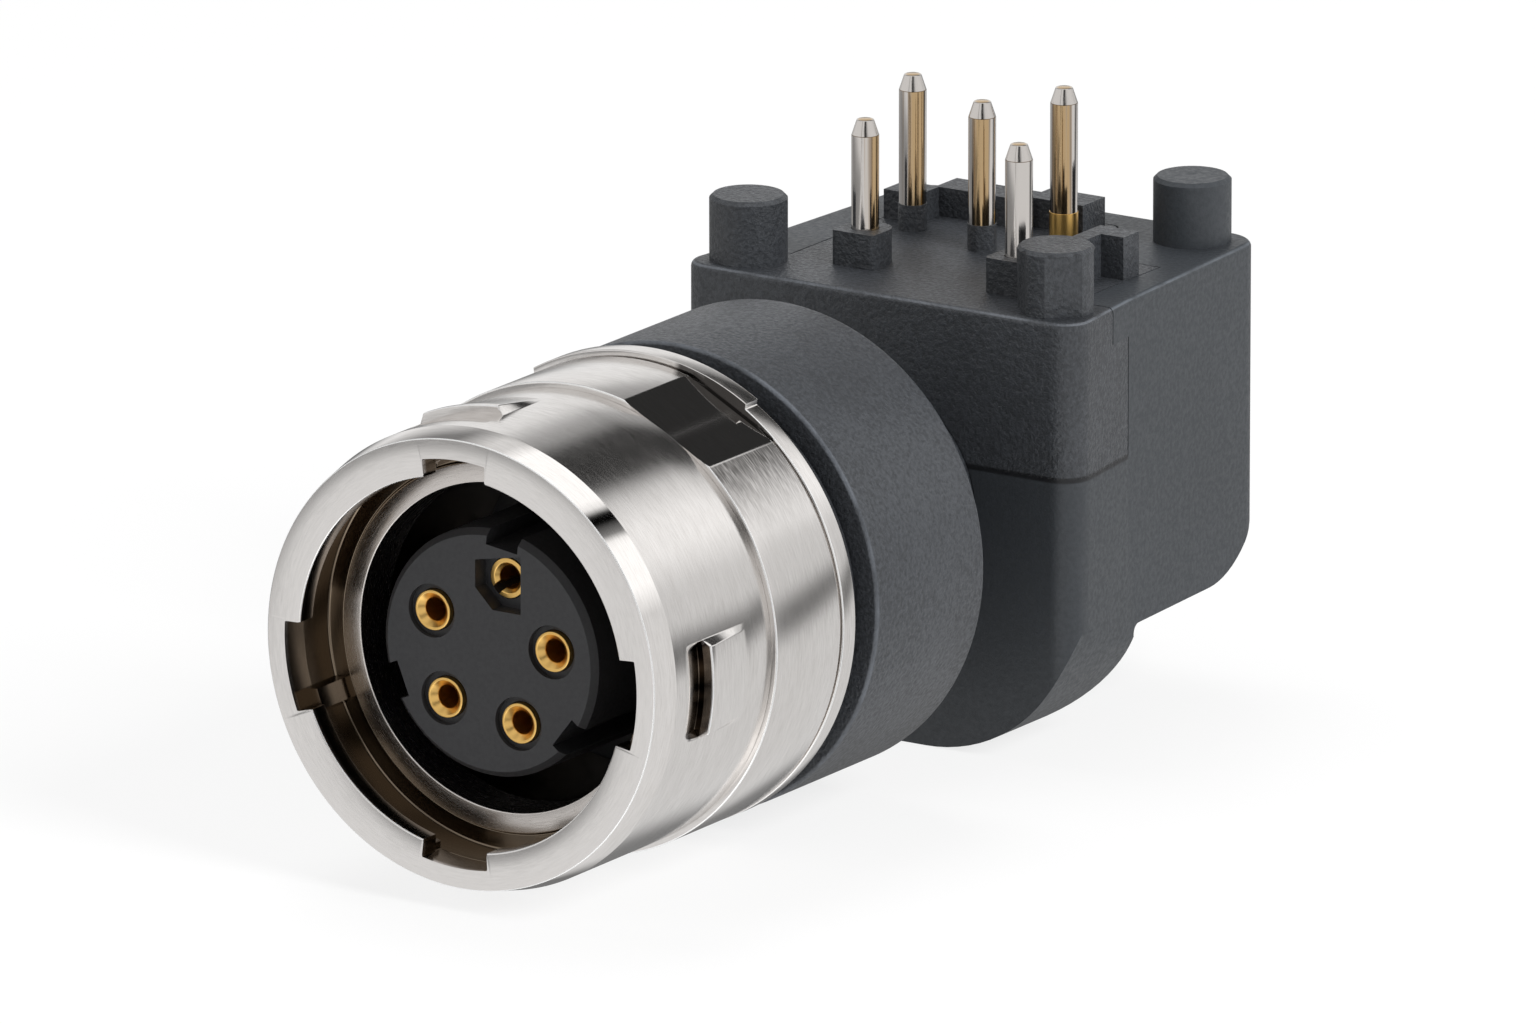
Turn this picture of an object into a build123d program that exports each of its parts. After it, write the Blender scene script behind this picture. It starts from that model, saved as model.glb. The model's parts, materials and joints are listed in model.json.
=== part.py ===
from build123d import *
import os
from math import cos, radians, sin

# Right-angle socket for a printed circuit board, in millimetres.
# The origin is on the coupling axis, in the plane of the mating face.
# The coupling axis lies along Y and the mating face looks to -Y.
# +Z is up, the way the solder pins and the locating pegs point, so the board seats on the top face.
# Angles are seen from the mating side: 0 at the right (+X), 90 at the top (+Z).
# Radii grow from the contact circle outwards and stations run from the mating face to the rear,
# so each wall, gap and length below can be changed by itself.

# Fits
PRESS_GAP = 0.02
SLIDE_GAP = 0.05
SEAM_GAP = 0.06

# Contacts in the insert
CONTACT_CIRCLE_R = 2.95
FIRST_CONTACT_ANGLE = 81.6
CONTACT_PITCH_ANGLE = 72.0
CONTACT_NAMES = ("a", "b", "c", "d", "e")
CONTACT_R = 0.81
CONTACT_BORE_R = 0.46
CONTACT_BORE_DEPTH = 7.5
CONTACT_MOUTH_CHAMFER = 0.16
CONTACT_LENGTH = 16.0
CONTACT_INSET = 0.05
DEEP_CONTACT = "a"
DEEP_CONTACT_INSET = 0.7
DEEP_CONTACT_SLOT = 0.35
DEEP_CONTACT_SLOT_LENGTH = 4.0
DEEP_CONTACT_SLOT_ANGLE = 225.0

# Insert
INSERT_RIM = 1.19
INSERT_FACE_Y = 2.0
INSERT_FACE_BEVEL = 0.25
INSERT_RECESS = 0.24
INSERT_RECESS_DEPTH = 0.3
INSERT_POCKET_WIDTH = 2.1
INSERT_POCKET_HEIGHT = 2.3
INSERT_POCKET_SLANT = 0.8
INSERT_POCKET_DEPTH = 0.75
KEYWAY_ANGLES = (82.0, 202.0, 322.0)
KEYWAY_WIDTH = 1.45
KEYWAY_DEPTH = 0.65
KEYWAY_LENGTH = 9.0
INSERT_FLANGE_THICKNESS = 1.6
INSERT_BARREL_LENGTH = 5.7

# Front sleeve
PLUG_GAP = 1.6
CLAMP_WALL = 0.85
CLAMP_LENGTH = 2.0
CLAMP_PROUD = 0.1
CLAMP_TOOTH_ANGLE = 93.0
CLAMP_TOOTH_WIDTH = 7.0
CLAMP_TOOTH_DEPTH = 0.3
GROOVE_FLOOR_WIDTH = 0.75
GROOVE_FLOOR_Y = 3.0
LIP_DEPTH = 0.7
LIP_THICKNESS = 0.9
LIP_STEP_DEPTH = 0.35
LIP_STEP_LENGTH = 0.4
SLEEVE_WALL = 1.05
SLEEVE_LENGTH = 7.9
FACE_BEVEL_DEPTH = 0.25
FACE_BEVEL_LENGTH = 1.2
SPIGOT_STEP = 0.6
SPIGOT_LENGTH = 3.5
NOTCHES = ((90.0, 21.0), (-3.0, 26.0), (183.0, 26.0), (270.0, 22.0))
GROOVE_STOPS = ((200.5, 7.0), (107.0, 6.0), (-17.0, 7.0), (285.0, 8.0))
GROOVE_STOP_DEPTH = 0.55
LUG_ANGLES = (-2.0, 103.0, 180.0, 270.0)
LUG_WIDTH_ANGLE = 23.0
LUG_HEIGHT = 0.35
LUG_CREST_LENGTH = 0.3
LUG_RUN_OUT_LENGTH = 2.6
LUG_POCKET_START_Y = 2.05
LUG_POCKET_LENGTH = 1.15
LUG_POCKET_DEPTH = 0.3

# Rear ring
RING_STEP = 0.22
RING_LENGTH = 4.5
FLAT_ANGLE = 58.0
FLAT_DEPTH = 0.14
NECKING_DEPTH = 0.17
NECKING_WIDTH = 0.15
FLANGE_STEP = 0.25
FLANGE_LENGTH = 0.95
SEGMENT_ANGLE = 90.0
SEGMENT_WIDTH_ANGLE = 62.0
SEGMENT_HEIGHT = 0.2
FLANGE_EDGE = 0.12
INNER_SEAL_THICKNESS = 0.8
SEAL_SHOULDER = 0.7
SHANK_WALL = 1.45
SHANK_LENGTH = 7.4

# Gasket and collar
GASKET_WIDTH = 1.5
GASKET_THICKNESS = 0.55
COLLAR_WALL = 1.4
COLLAR_LENGTH = 7.8
COLLAR_REAR_WALL = 1.9
COLLAR_FRONT_RADIUS = 0.4
COLLAR_REAR_RADIUS = 0.3
NECK_CLEARANCE = 0.4
NECK_WALL = 0.7
NECK_LENGTH = 6.7
NECK_FLANGE_STEP = 1.0
NECK_FLANGE_THICKNESS = 1.0

# Housing and cap
HOUSING_INSET = 0.1
SIDE_DRAFT_FRONT = 0.55
SIDE_DRAFT_REAR = 0.7
TOP_HEIGHT = 8.2
BLOCK_DEPTH = 5.2
LOBE_LENGTH = 5.2
LOBE_CORNER_RADIUS = 7.0
LOBE_REAR_RADIUS = 4.1
LOBE_REAR_STRAIGHT = 0.2
LOBE_STEP_RADIUS = 0.4
BLOCK_REAR_RADIUS = 4.4
REAR_MARGIN = 4.4
FRONT_EDGE_RADIUS = 1.1
REAR_EDGE_RADIUS = 1.5
TOP_EDGE_RADIUS = 0.25
WALL = 1.5
PLATE = 1.5
CAP_BOTTOM_Z = 1.85
CAP_WRAP = 4.7
CAP_STRIP = 3.3
TONGUE_LEFT_X = -6.2
TONGUE_RIGHT_X = 7.2
TONGUE_SHOULDER = 9.6
TONGUE_TIP_X = 2.6
TONGUE_MARGIN = 2.7
TONGUE_CORNER_RADIUS = 0.5

# Solder pins: contact, place across, place behind the housing's front face, height above the top
PIN_R = 0.55
PIN_TIP_HEIGHT = 0.63
PIN_TIP_R = 0.34
PIN_BEND_R = 1.2
PIN_JOG_R = 1.5
PIN_JOG_BELOW_TOP = 2.6
PIN_SOCKET_DEPTH = 3.0
PINS = (
    ("1", "b", -3.0, 3.85, 5.85),
    ("2", "c", -4.25, 9.25, 6.35),
    ("3", "a", -0.24, 8.1, 6.05),
    ("4", "e", 4.39, 3.55, 5.95),
    ("5", "d", 1.5, 11.4, 6.15),
)

# Pegs, bosses and ribs on the top face, with the ribs' places across and behind the housing's front face
PEG_R = 1.56
PEG_HEIGHT = 2.65
PEG_CHAMFER = 0.3
PEG_FLATS = 2.73
CAP_PEG_SIDE_INSET = 2.15
CAP_PEG_FRONT_INSET = 1.85
HOUSING_PEG_SIDE_INSET = 3.4
HOUSING_PEG_REAR_INSET = 1.9
BOSSED_PINS = ("1", "4")
BOSS_WIDTH = 2.0
BOSS_HEIGHT = 1.42
BOSS_FRONT_RADIUS = 0.25
BOSS_REAR_RADIUS = 0.85
RIB_HEIGHT = 1.2
RIB_BLOCKS = ((-6.1, -4.45, 10.0, 11.55), (-4.6, -0.5, 11.5, 13.05), (-0.6, 1.95, 12.1, 13.75))
STOP_HEIGHT = 1.75
STOP_BLOCKS = ((5.25, 6.0, 4.7, 8.2), (5.25, 7.05, 7.05, 8.2))

# Radii from the contact circle outwards
insert_r = CONTACT_CIRCLE_R + CONTACT_R + INSERT_RIM
bore_r = insert_r + PLUG_GAP
clamp_r = bore_r + CLAMP_WALL
groove_r = clamp_r + GROOVE_FLOOR_WIDTH
lip_r = groove_r - LIP_DEPTH
sleeve_r = groove_r + SLEEVE_WALL
spigot_r = sleeve_r - SPIGOT_STEP
ring_r = sleeve_r + RING_STEP
flange_r = sleeve_r + FLANGE_STEP
seal_r = bore_r + SEAL_SHOULDER
shank_r = bore_r + SHANK_WALL
collar_bore_r = shank_r + SLIDE_GAP
collar_r = collar_bore_r + COLLAR_WALL
neck_bore_r = CONTACT_CIRCLE_R + PIN_R + NECK_CLEARANCE
neck_r = neck_bore_r + NECK_WALL
neck_flange_r = neck_r + NECK_FLANGE_STEP
half_width = collar_r - HOUSING_INSET
lobe_depth = BLOCK_DEPTH + LOBE_STEP_RADIUS + LOBE_REAR_STRAIGHT + LOBE_REAR_RADIUS

# Stations from the mating face to the rear
spigot_end_y = SLEEVE_LENGTH + SPIGOT_LENGTH
seal_end_y = spigot_end_y + INNER_SEAL_THICKNESS
insert_shoulder_y = seal_end_y + INSERT_FLANGE_THICKNESS
insert_end_y = insert_shoulder_y + INSERT_BARREL_LENGTH
necking_y = SLEEVE_LENGTH + RING_LENGTH
flange_y = necking_y + NECKING_WIDTH
gasket_y = flange_y + FLANGE_LENGTH
collar_y = gasket_y + GASKET_WIDTH
shank_end_y = gasket_y + SHANK_LENGTH
collar_end_y = collar_y + COLLAR_LENGTH
collar_floor_y = collar_end_y - COLLAR_REAR_WALL
housing_y = collar_end_y + NECK_LENGTH
neck_flange_y = housing_y + WALL
neck_end_y = neck_flange_y + NECK_FLANGE_THICKNESS
lobe_end_y = housing_y + LOBE_LENGTH
last_pin_y = housing_y + max(offset for _, _, _, offset, _ in PINS)
housing_end_y = last_pin_y + REAR_MARGIN
tongue_end_y = last_pin_y + TONGUE_MARGIN
cap_wrap_y = housing_y + CAP_WRAP
cap_strip_y = housing_y + CAP_STRIP
plate_z = TOP_HEIGHT - PLATE

# Places of the pegs
round_cap_peg = (CAP_PEG_SIDE_INSET - half_width, housing_y + CAP_PEG_FRONT_INSET)
flat_cap_peg = (half_width - CAP_PEG_SIDE_INSET, housing_y + CAP_PEG_FRONT_INSET)
housing_peg = (half_width - HOUSING_PEG_SIDE_INSET, housing_end_y - HOUSING_PEG_REAR_INSET)

REARWARD = (0, 1, 0)
COUPLING_AXIS = Axis((0, 0, 0), (0, -1, 0))


def radial_plane(angle):
    """Plane through the coupling axis, with x outwards at the angle and y to the rear."""
    turn = radians(angle)
    return Plane((0, 0, 0), x_dir=(cos(turn), 0, sin(turn)), z_dir=(-sin(turn), 0, cos(turn)))


def section(y):
    """Plane square to the coupling axis at a station, with x across and y up."""
    return Plane.XZ.offset(-y)


def contact_place(name):
    """Place of a contact, across and up from the coupling axis."""
    turn = radians(FIRST_CONTACT_ANGLE + CONTACT_PITCH_ANGLE * CONTACT_NAMES.index(name))
    return (CONTACT_CIRCLE_R * cos(turn), CONTACT_CIRCLE_R * sin(turn))


def contact_face_y(name):
    """Station of a contact's open front end."""
    inset = DEEP_CONTACT_INSET if name == DEEP_CONTACT else CONTACT_INSET
    return INSERT_FACE_Y + inset


def sector(outline, centre, width, mode=Mode.ADD):
    """Turn an outline of radius and station points through a width about the coupling axis."""
    with BuildSketch(radial_plane(centre - width / 2)) as profile:
        with BuildLine():
            Polyline(*outline, close=True)
        make_face()
    revolve(profile.sketch, axis=COUPLING_AXIS, revolution_arc=width, mode=mode)


def band(r_low, r_high, y_low, y_high):
    """Corner points of a rectangular outline between two radii and two stations."""
    return ((r_low, y_low), (r_high, y_low), (r_high, y_high), (r_low, y_high))


def save(name, piece):
    """Label a finished piece and write its file."""
    piece.label = name
    export_step(piece, f"parts/{name}.step")


def make_front_sleeve():
    """Sleeve with the notched lip, the bayonet groove, the outer lugs and the rear spigot."""
    step_r = groove_r - LIP_STEP_DEPTH
    step_y = LIP_THICKNESS + LIP_STEP_LENGTH
    clamp_end_y = GROOVE_FLOOR_Y - CLAMP_PROUD + CLAMP_LENGTH
    crest_r = sleeve_r + LUG_HEIGHT
    root_r = sleeve_r - SLEEVE_WALL / 2
    lug_y = LUG_POCKET_START_Y + LUG_POCKET_LENGTH
    run_out_y = lug_y + LUG_CREST_LENGTH
    with BuildPart() as sleeve:
        with BuildSketch(Plane.XY):
            with BuildLine():
                Polyline(
                    (lip_r, 0),
                    (sleeve_r - FACE_BEVEL_DEPTH, 0),
                    (sleeve_r, FACE_BEVEL_LENGTH),
                    (sleeve_r, SLEEVE_LENGTH),
                    (spigot_r, SLEEVE_LENGTH),
                    (spigot_r, spigot_end_y),
                    (bore_r, spigot_end_y),
                    (bore_r, clamp_end_y),
                    (clamp_r, clamp_end_y),
                    (clamp_r, GROOVE_FLOOR_Y),
                    (groove_r, GROOVE_FLOOR_Y),
                    (groove_r, step_y),
                    (step_r, step_y),
                    (step_r, LIP_THICKNESS),
                    (lip_r, LIP_THICKNESS),
                    close=True,
                )
            make_face()
        revolve(axis=Axis.Y)
        for centre, width in NOTCHES:
            sector(band(clamp_r, groove_r, 0, step_y), centre, width, Mode.SUBTRACT)
        for centre, width in GROOVE_STOPS:
            stop = band(groove_r - GROOVE_STOP_DEPTH, groove_r, LIP_THICKNESS, GROOVE_FLOOR_Y)
            sector(stop, centre, width)
        for centre in LUG_ANGLES:
            pocket = (
                (sleeve_r, LUG_POCKET_START_Y),
                (crest_r, LUG_POCKET_START_Y),
                (crest_r, lug_y),
                (sleeve_r - LUG_POCKET_DEPTH, lug_y),
            )
            sector(pocket, centre, LUG_WIDTH_ANGLE, Mode.SUBTRACT)
            lug = (
                (root_r, lug_y),
                (crest_r, lug_y),
                (crest_r, run_out_y),
                (sleeve_r, run_out_y + LUG_RUN_OUT_LENGTH),
                (root_r, run_out_y + LUG_RUN_OUT_LENGTH),
            )
            sector(lug, centre, LUG_WIDTH_ANGLE)
    save("front_sleeve", sleeve.part)


def make_clamp_ring():
    """Turned ring at the inner edge of the groove's floor, with one small tooth."""
    face_y = GROOVE_FLOOR_Y - CLAMP_PROUD
    ring_outer_r = clamp_r - PRESS_GAP
    with BuildPart() as ring:
        with BuildSketch(section(face_y)):
            Circle(ring_outer_r)
            Circle(bore_r, mode=Mode.SUBTRACT)
        extrude(amount=CLAMP_LENGTH, dir=REARWARD)
        with BuildSketch(section(face_y)) as tooth:
            with BuildLine():
                half = radians(CLAMP_TOOTH_WIDTH / 2)
                middle = radians(CLAMP_TOOTH_ANGLE)
                root_r = bore_r + CLAMP_WALL / 3
                tip_r = bore_r - CLAMP_TOOTH_DEPTH
                Polyline(
                    (root_r * cos(middle - half), root_r * sin(middle - half)),
                    (tip_r * cos(middle), tip_r * sin(middle)),
                    (root_r * cos(middle + half), root_r * sin(middle + half)),
                    close=True,
                )
            make_face()
        extrude(tooth.sketch, amount=CLAMP_LENGTH / 2, dir=REARWARD)
    save("clamp_ring", ring.part)


def make_rear_ring():
    """Rear part of the metal shell: ring with a flat, thin flange and the shank in the collar."""
    spigot_bore_r = spigot_r + PRESS_GAP
    necking_r = ring_r - NECKING_DEPTH
    segment_r = flange_r + SEGMENT_HEIGHT
    with BuildPart() as shell:
        with BuildSketch(Plane.XY):
            with BuildLine():
                Polyline(
                    (spigot_bore_r, SLEEVE_LENGTH),
                    (ring_r, SLEEVE_LENGTH),
                    (ring_r, necking_y),
                    (necking_r, necking_y),
                    (necking_r, flange_y),
                    (flange_r, flange_y),
                    (flange_r, gasket_y - FLANGE_EDGE),
                    (flange_r - FLANGE_EDGE, gasket_y),
                    (shank_r, gasket_y),
                    (shank_r, shank_end_y),
                    (bore_r, shank_end_y),
                    (bore_r, insert_shoulder_y),
                    (seal_r, insert_shoulder_y),
                    (seal_r, spigot_end_y),
                    (spigot_bore_r, spigot_end_y),
                    close=True,
                )
            make_face()
        revolve(axis=Axis.Y)
        with BuildSketch(section(SLEEVE_LENGTH)):
            with Locations(Rotation(0, 0, FLAT_ANGLE)):
                with Locations((ring_r - FLAT_DEPTH + SLEEVE_WALL / 2, 0)):
                    Rectangle(SLEEVE_WALL, 2 * ring_r)
        extrude(amount=RING_LENGTH, dir=REARWARD, mode=Mode.SUBTRACT)
        raised = band(shank_r, segment_r, flange_y, gasket_y - FLANGE_EDGE)
        sector(raised, SEGMENT_ANGLE, SEGMENT_WIDTH_ANGLE)
    save("rear_ring", shell.part)


def make_inner_seal():
    """Flat rubber ring between the spigot's end and the insert's flange."""
    with BuildPart() as seal:
        with BuildSketch(section(spigot_end_y)):
            Circle(seal_r - SLIDE_GAP)
            Circle(insert_r + SLIDE_GAP, mode=Mode.SUBTRACT)
        extrude(amount=INNER_SEAL_THICKNESS, dir=REARWARD)
    save("inner_seal", seal.part)


def make_insert():
    """Insulating insert with its keyways, contact holes and the flange that locates it."""
    hole_r = CONTACT_R + PRESS_GAP
    with BuildPart() as insert:
        with BuildSketch(Plane.XY):
            with BuildLine():
                Polyline(
                    (0, INSERT_FACE_Y),
                    (insert_r - INSERT_FACE_BEVEL, INSERT_FACE_Y),
                    (insert_r, INSERT_FACE_Y + INSERT_FACE_BEVEL),
                    (insert_r, seal_end_y),
                    (seal_r - SLIDE_GAP, seal_end_y),
                    (seal_r - SLIDE_GAP, insert_shoulder_y),
                    (bore_r - SLIDE_GAP, insert_shoulder_y),
                    (bore_r - SLIDE_GAP, insert_end_y),
                    (0, insert_end_y),
                    close=True,
                )
            make_face()
        revolve(axis=Axis.Y)
        with BuildSketch(section(INSERT_FACE_Y)):
            for angle in KEYWAY_ANGLES:
                with Locations(Rotation(0, 0, angle)):
                    with Locations((insert_r, 0)):
                        Rectangle(2 * KEYWAY_DEPTH, KEYWAY_WIDTH)
        extrude(amount=KEYWAY_LENGTH, dir=REARWARD, mode=Mode.SUBTRACT)
        with BuildSketch(section(INSERT_FACE_Y)):
            with Locations(*[contact_place(name) for name in CONTACT_NAMES]):
                Circle(hole_r)
        extrude(amount=insert_end_y - INSERT_FACE_Y, dir=REARWARD, mode=Mode.SUBTRACT)
        with BuildSketch(section(INSERT_FACE_Y)):
            with Locations(*[contact_place(name) for name in CONTACT_NAMES if name != DEEP_CONTACT]):
                Circle(hole_r + INSERT_RECESS)
        extrude(amount=INSERT_RECESS_DEPTH, dir=REARWARD, mode=Mode.SUBTRACT)
        with BuildSketch(section(INSERT_FACE_Y)):
            right = INSERT_POCKET_WIDTH / 2
            top = INSERT_POCKET_HEIGHT / 2
            with Locations(contact_place(DEEP_CONTACT)):
                Polygon(
                    (-right, -top + INSERT_POCKET_SLANT),
                    (-right + INSERT_POCKET_SLANT, -top),
                    (right, -top),
                    (right, top),
                    (-right, top - INSERT_POCKET_SLANT / 2),
                    align=None,
                )
        extrude(amount=INSERT_POCKET_DEPTH, dir=REARWARD, mode=Mode.SUBTRACT)
    save("insert", insert.part)


def make_contact(name):
    """Socket contact: open countersunk front bore and a rear bore that takes its solder pin."""
    face_y = contact_face_y(name)
    contact_end_y = INSERT_FACE_Y + CONTACT_LENGTH
    across, up = contact_place(name)
    with BuildPart() as contact:
        with BuildSketch(section(face_y)):
            with Locations((across, up)):
                Circle(CONTACT_R)
        extrude(amount=contact_end_y - face_y, dir=REARWARD)
        with BuildSketch(section(face_y)):
            with Locations((across, up)):
                Circle(CONTACT_BORE_R)
        extrude(amount=CONTACT_BORE_DEPTH, dir=REARWARD, mode=Mode.SUBTRACT)
        mouth = contact.faces().sort_by(Axis.Y)[0].inner_wires()[0]
        chamfer(mouth.edges(), CONTACT_MOUTH_CHAMFER)
        with BuildSketch(section(contact_end_y)):
            with Locations((across, up)):
                Circle(PIN_R + PRESS_GAP)
        extrude(amount=-PIN_SOCKET_DEPTH, dir=REARWARD, mode=Mode.SUBTRACT)
        if name == DEEP_CONTACT:
            with BuildSketch(section(face_y)):
                with Locations((across, up)):
                    with Locations(Rotation(0, 0, DEEP_CONTACT_SLOT_ANGLE)):
                        with Locations((CONTACT_R, 0)):
                            Rectangle(2 * CONTACT_R, DEEP_CONTACT_SLOT)
            extrude(amount=DEEP_CONTACT_SLOT_LENGTH, dir=REARWARD, mode=Mode.SUBTRACT)
    save(f"contact_{name}", contact.part)


def make_gasket():
    """Rubber ring on the shank, between the metal flange and the collar."""
    gasket_r = shank_r + GASKET_THICKNESS
    with BuildPart() as gasket:
        with BuildSketch(section(gasket_y)):
            Circle(gasket_r)
            Circle(shank_r + PRESS_GAP, mode=Mode.SUBTRACT)
        extrude(amount=GASKET_WIDTH, dir=REARWARD)
        rims = gasket.edges().filter_by(GeomType.CIRCLE).group_by(SortBy.RADIUS)[-1]
        fillet(rims, GASKET_THICKNESS / 2)
    save("gasket", gasket.part)


def make_collar():
    """Plastic cup on the shank, with the hollow neck and the flange that the housing grips."""
    with BuildPart() as collar:
        with BuildSketch(Plane.XY) as profile:
            with BuildLine():
                Polyline(
                    (collar_bore_r, collar_y),
                    (collar_r, collar_y),
                    (collar_r, collar_end_y),
                    (neck_r, collar_end_y),
                    (neck_r, neck_flange_y),
                    (neck_flange_r, neck_flange_y),
                    (neck_flange_r, neck_end_y),
                    (neck_bore_r, neck_end_y),
                    (neck_bore_r, collar_floor_y),
                    (collar_bore_r, collar_floor_y),
                    close=True,
                )
            make_face()
            fillet(profile.vertices().sort_by_distance((collar_r, collar_y, 0))[0], COLLAR_FRONT_RADIUS)
            fillet(profile.vertices().sort_by_distance((collar_r, collar_end_y, 0))[0], COLLAR_REAR_RADIUS)
        revolve(axis=Axis.Y)
    save("collar", collar.part)


def make_rear_insulator():
    """Plug that closes the shank's rear end and guides the solder pins through the neck."""
    with BuildPart() as plug:
        with BuildSketch(section(insert_end_y)):
            Circle(bore_r - SLIDE_GAP)
        extrude(amount=collar_floor_y - insert_end_y, dir=REARWARD)
        with BuildSketch(section(collar_floor_y)):
            Circle(neck_bore_r - SLIDE_GAP)
        extrude(amount=housing_y - collar_floor_y, dir=REARWARD)
        with BuildSketch(section(insert_end_y)):
            with Locations(*[contact_place(name) for name in CONTACT_NAMES]):
                Circle(PIN_R + PRESS_GAP)
        extrude(amount=housing_y - insert_end_y, dir=REARWARD, mode=Mode.SUBTRACT)
    save("rear_insulator", plug.part)


def make_pin(name, contact, across, offset, height):
    """Solder pin: straight from its contact through the neck, then bent up through the cap."""
    contact_x, contact_z = contact_place(contact)
    start_y = INSERT_FACE_Y + CONTACT_LENGTH - PIN_SOCKET_DEPTH
    pin_y = housing_y + offset
    shoulder_z = TOP_HEIGHT + height - PIN_TIP_HEIGHT
    with BuildPart() as pin:
        with BuildLine() as route:
            FilletPolyline(
                (contact_x, start_y, contact_z),
                (contact_x, pin_y, contact_z),
                (across, pin_y, TOP_HEIGHT - PIN_JOG_BELOW_TOP),
                (across, pin_y, shoulder_z),
                radius=[PIN_BEND_R, PIN_JOG_R],
            )
        with BuildSketch(section(start_y)):
            with Locations((contact_x, contact_z)):
                Circle(PIN_R)
        sweep(path=route.wire())
        with BuildSketch(Plane.XY.offset(shoulder_z)):
            with Locations((across, pin_y)):
                Circle(PIN_R)
        with BuildSketch(Plane.XY.offset(shoulder_z + PIN_TIP_HEIGHT)):
            with Locations((across, pin_y)):
                Circle(PIN_TIP_R)
        loft()
    save(f"solder_pin_{name}", pin.part)


def body_block():
    """Housing and cap as one hollow form, before the seam divides them."""
    inner_half = half_width - SIDE_DRAFT_REAR - SIDE_DRAFT_FRONT - WALL
    with BuildPart() as block:
        with BuildSketch(Plane.YZ.offset(-half_width)) as side:
            with BuildLine():
                Polyline(
                    (housing_y, TOP_HEIGHT),
                    (housing_y, -lobe_depth),
                    (lobe_end_y, -lobe_depth),
                    (lobe_end_y, -BLOCK_DEPTH),
                    (housing_end_y, -BLOCK_DEPTH),
                    (housing_end_y, TOP_HEIGHT),
                    close=True,
                )
            make_face()
            corner = side.vertices().sort_by_distance((lobe_end_y, -lobe_depth, 0))[0]
            fillet(corner, LOBE_REAR_RADIUS)
            corner = side.vertices().sort_by_distance((lobe_end_y, -BLOCK_DEPTH, 0))[0]
            fillet(corner, LOBE_STEP_RADIUS)
            corner = side.vertices().sort_by_distance((housing_end_y, -BLOCK_DEPTH, 0))[0]
            fillet(corner, BLOCK_REAR_RADIUS)
        extrude(amount=2 * half_width)
        with BuildSketch(Plane.XY.offset(-lobe_depth)) as plan:
            with BuildLine():
                Polyline(
                    (half_width, housing_y),
                    (half_width - SIDE_DRAFT_FRONT, cap_wrap_y),
                    (half_width - SIDE_DRAFT_FRONT - SIDE_DRAFT_REAR, housing_end_y),
                    (-half_width + SIDE_DRAFT_FRONT + SIDE_DRAFT_REAR, housing_end_y),
                    (-half_width + SIDE_DRAFT_FRONT, cap_wrap_y),
                    (-half_width, housing_y),
                    close=True,
                )
            make_face()
            fillet(plan.vertices().group_by(Axis.Y)[0], FRONT_EDGE_RADIUS)
            fillet(plan.vertices().group_by(Axis.Y)[-1], REAR_EDGE_RADIUS)
        extrude(amount=lobe_depth + TOP_HEIGHT, mode=Mode.INTERSECT)
        with BuildSketch(section(housing_y)) as front:
            with BuildLine():
                Polyline(
                    (-half_width, TOP_HEIGHT),
                    (-half_width, -lobe_depth),
                    (half_width, -lobe_depth),
                    (half_width, TOP_HEIGHT),
                    close=True,
                )
            make_face()
            fillet(front.vertices().group_by(Axis.Y)[0], LOBE_CORNER_RADIUS)
        extrude(amount=housing_end_y - housing_y, dir=REARWARD, mode=Mode.INTERSECT)
        fillet(block.faces().sort_by(Axis.Z)[-1].edges(), TOP_EDGE_RADIUS)
        with BuildSketch(Plane.XY.offset(plate_z)):
            with Locations((0, (neck_flange_y + housing_end_y - WALL) / 2)):
                Rectangle(2 * inner_half, housing_end_y - WALL - neck_flange_y)
        extrude(amount=WALL - BLOCK_DEPTH - plate_z, mode=Mode.SUBTRACT)
        with BuildSketch(section(neck_flange_y)):
            Circle(neck_flange_r + SLIDE_GAP)
        extrude(amount=NECK_FLANGE_THICKNESS + SLIDE_GAP, dir=REARWARD, mode=Mode.SUBTRACT)
        with BuildSketch(section(housing_y)):
            Circle(neck_r + SLIDE_GAP)
        extrude(amount=WALL, dir=REARWARD, mode=Mode.SUBTRACT)
    return block.part


def cap_region(gap):
    """Space that the cap takes out of the body block, drawn in by the gap along its seams."""
    with BuildPart() as region:
        with BuildSketch(Plane.YZ.offset(-half_width)):
            with BuildLine():
                Polyline(
                    (housing_y, TOP_HEIGHT),
                    (housing_y, CAP_BOTTOM_Z),
                    (cap_wrap_y - gap, CAP_BOTTOM_Z),
                    (cap_wrap_y - gap, plate_z),
                    (cap_strip_y - gap, plate_z),
                    (cap_strip_y - gap, TOP_HEIGHT),
                    close=True,
                )
            make_face()
        extrude(amount=2 * half_width)
        with BuildSketch(Plane.XY.offset(plate_z)) as tongue:
            with BuildLine():
                Polyline(
                    (TONGUE_LEFT_X + gap, housing_y + WALL),
                    (TONGUE_RIGHT_X - gap, housing_y + WALL),
                    (TONGUE_RIGHT_X - gap, housing_y + TONGUE_SHOULDER - gap),
                    (TONGUE_TIP_X - gap, housing_y + TONGUE_SHOULDER - gap),
                    (TONGUE_TIP_X - gap, tongue_end_y - gap),
                    (TONGUE_LEFT_X + gap, tongue_end_y - gap),
                    close=True,
                )
            make_face()
            fillet(tongue.vertices().group_by(Axis.Y)[-1], TONGUE_CORNER_RADIUS)
        extrude(amount=PLATE)
    return region.part


def peg(place):
    """Locating peg on the top face, before its top is chamfered."""
    with BuildSketch(Plane.XY.offset(TOP_HEIGHT)) as foot:
        with Locations(place):
            Circle(PEG_R)
    extrude(foot.sketch, amount=PEG_HEIGHT)


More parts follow.
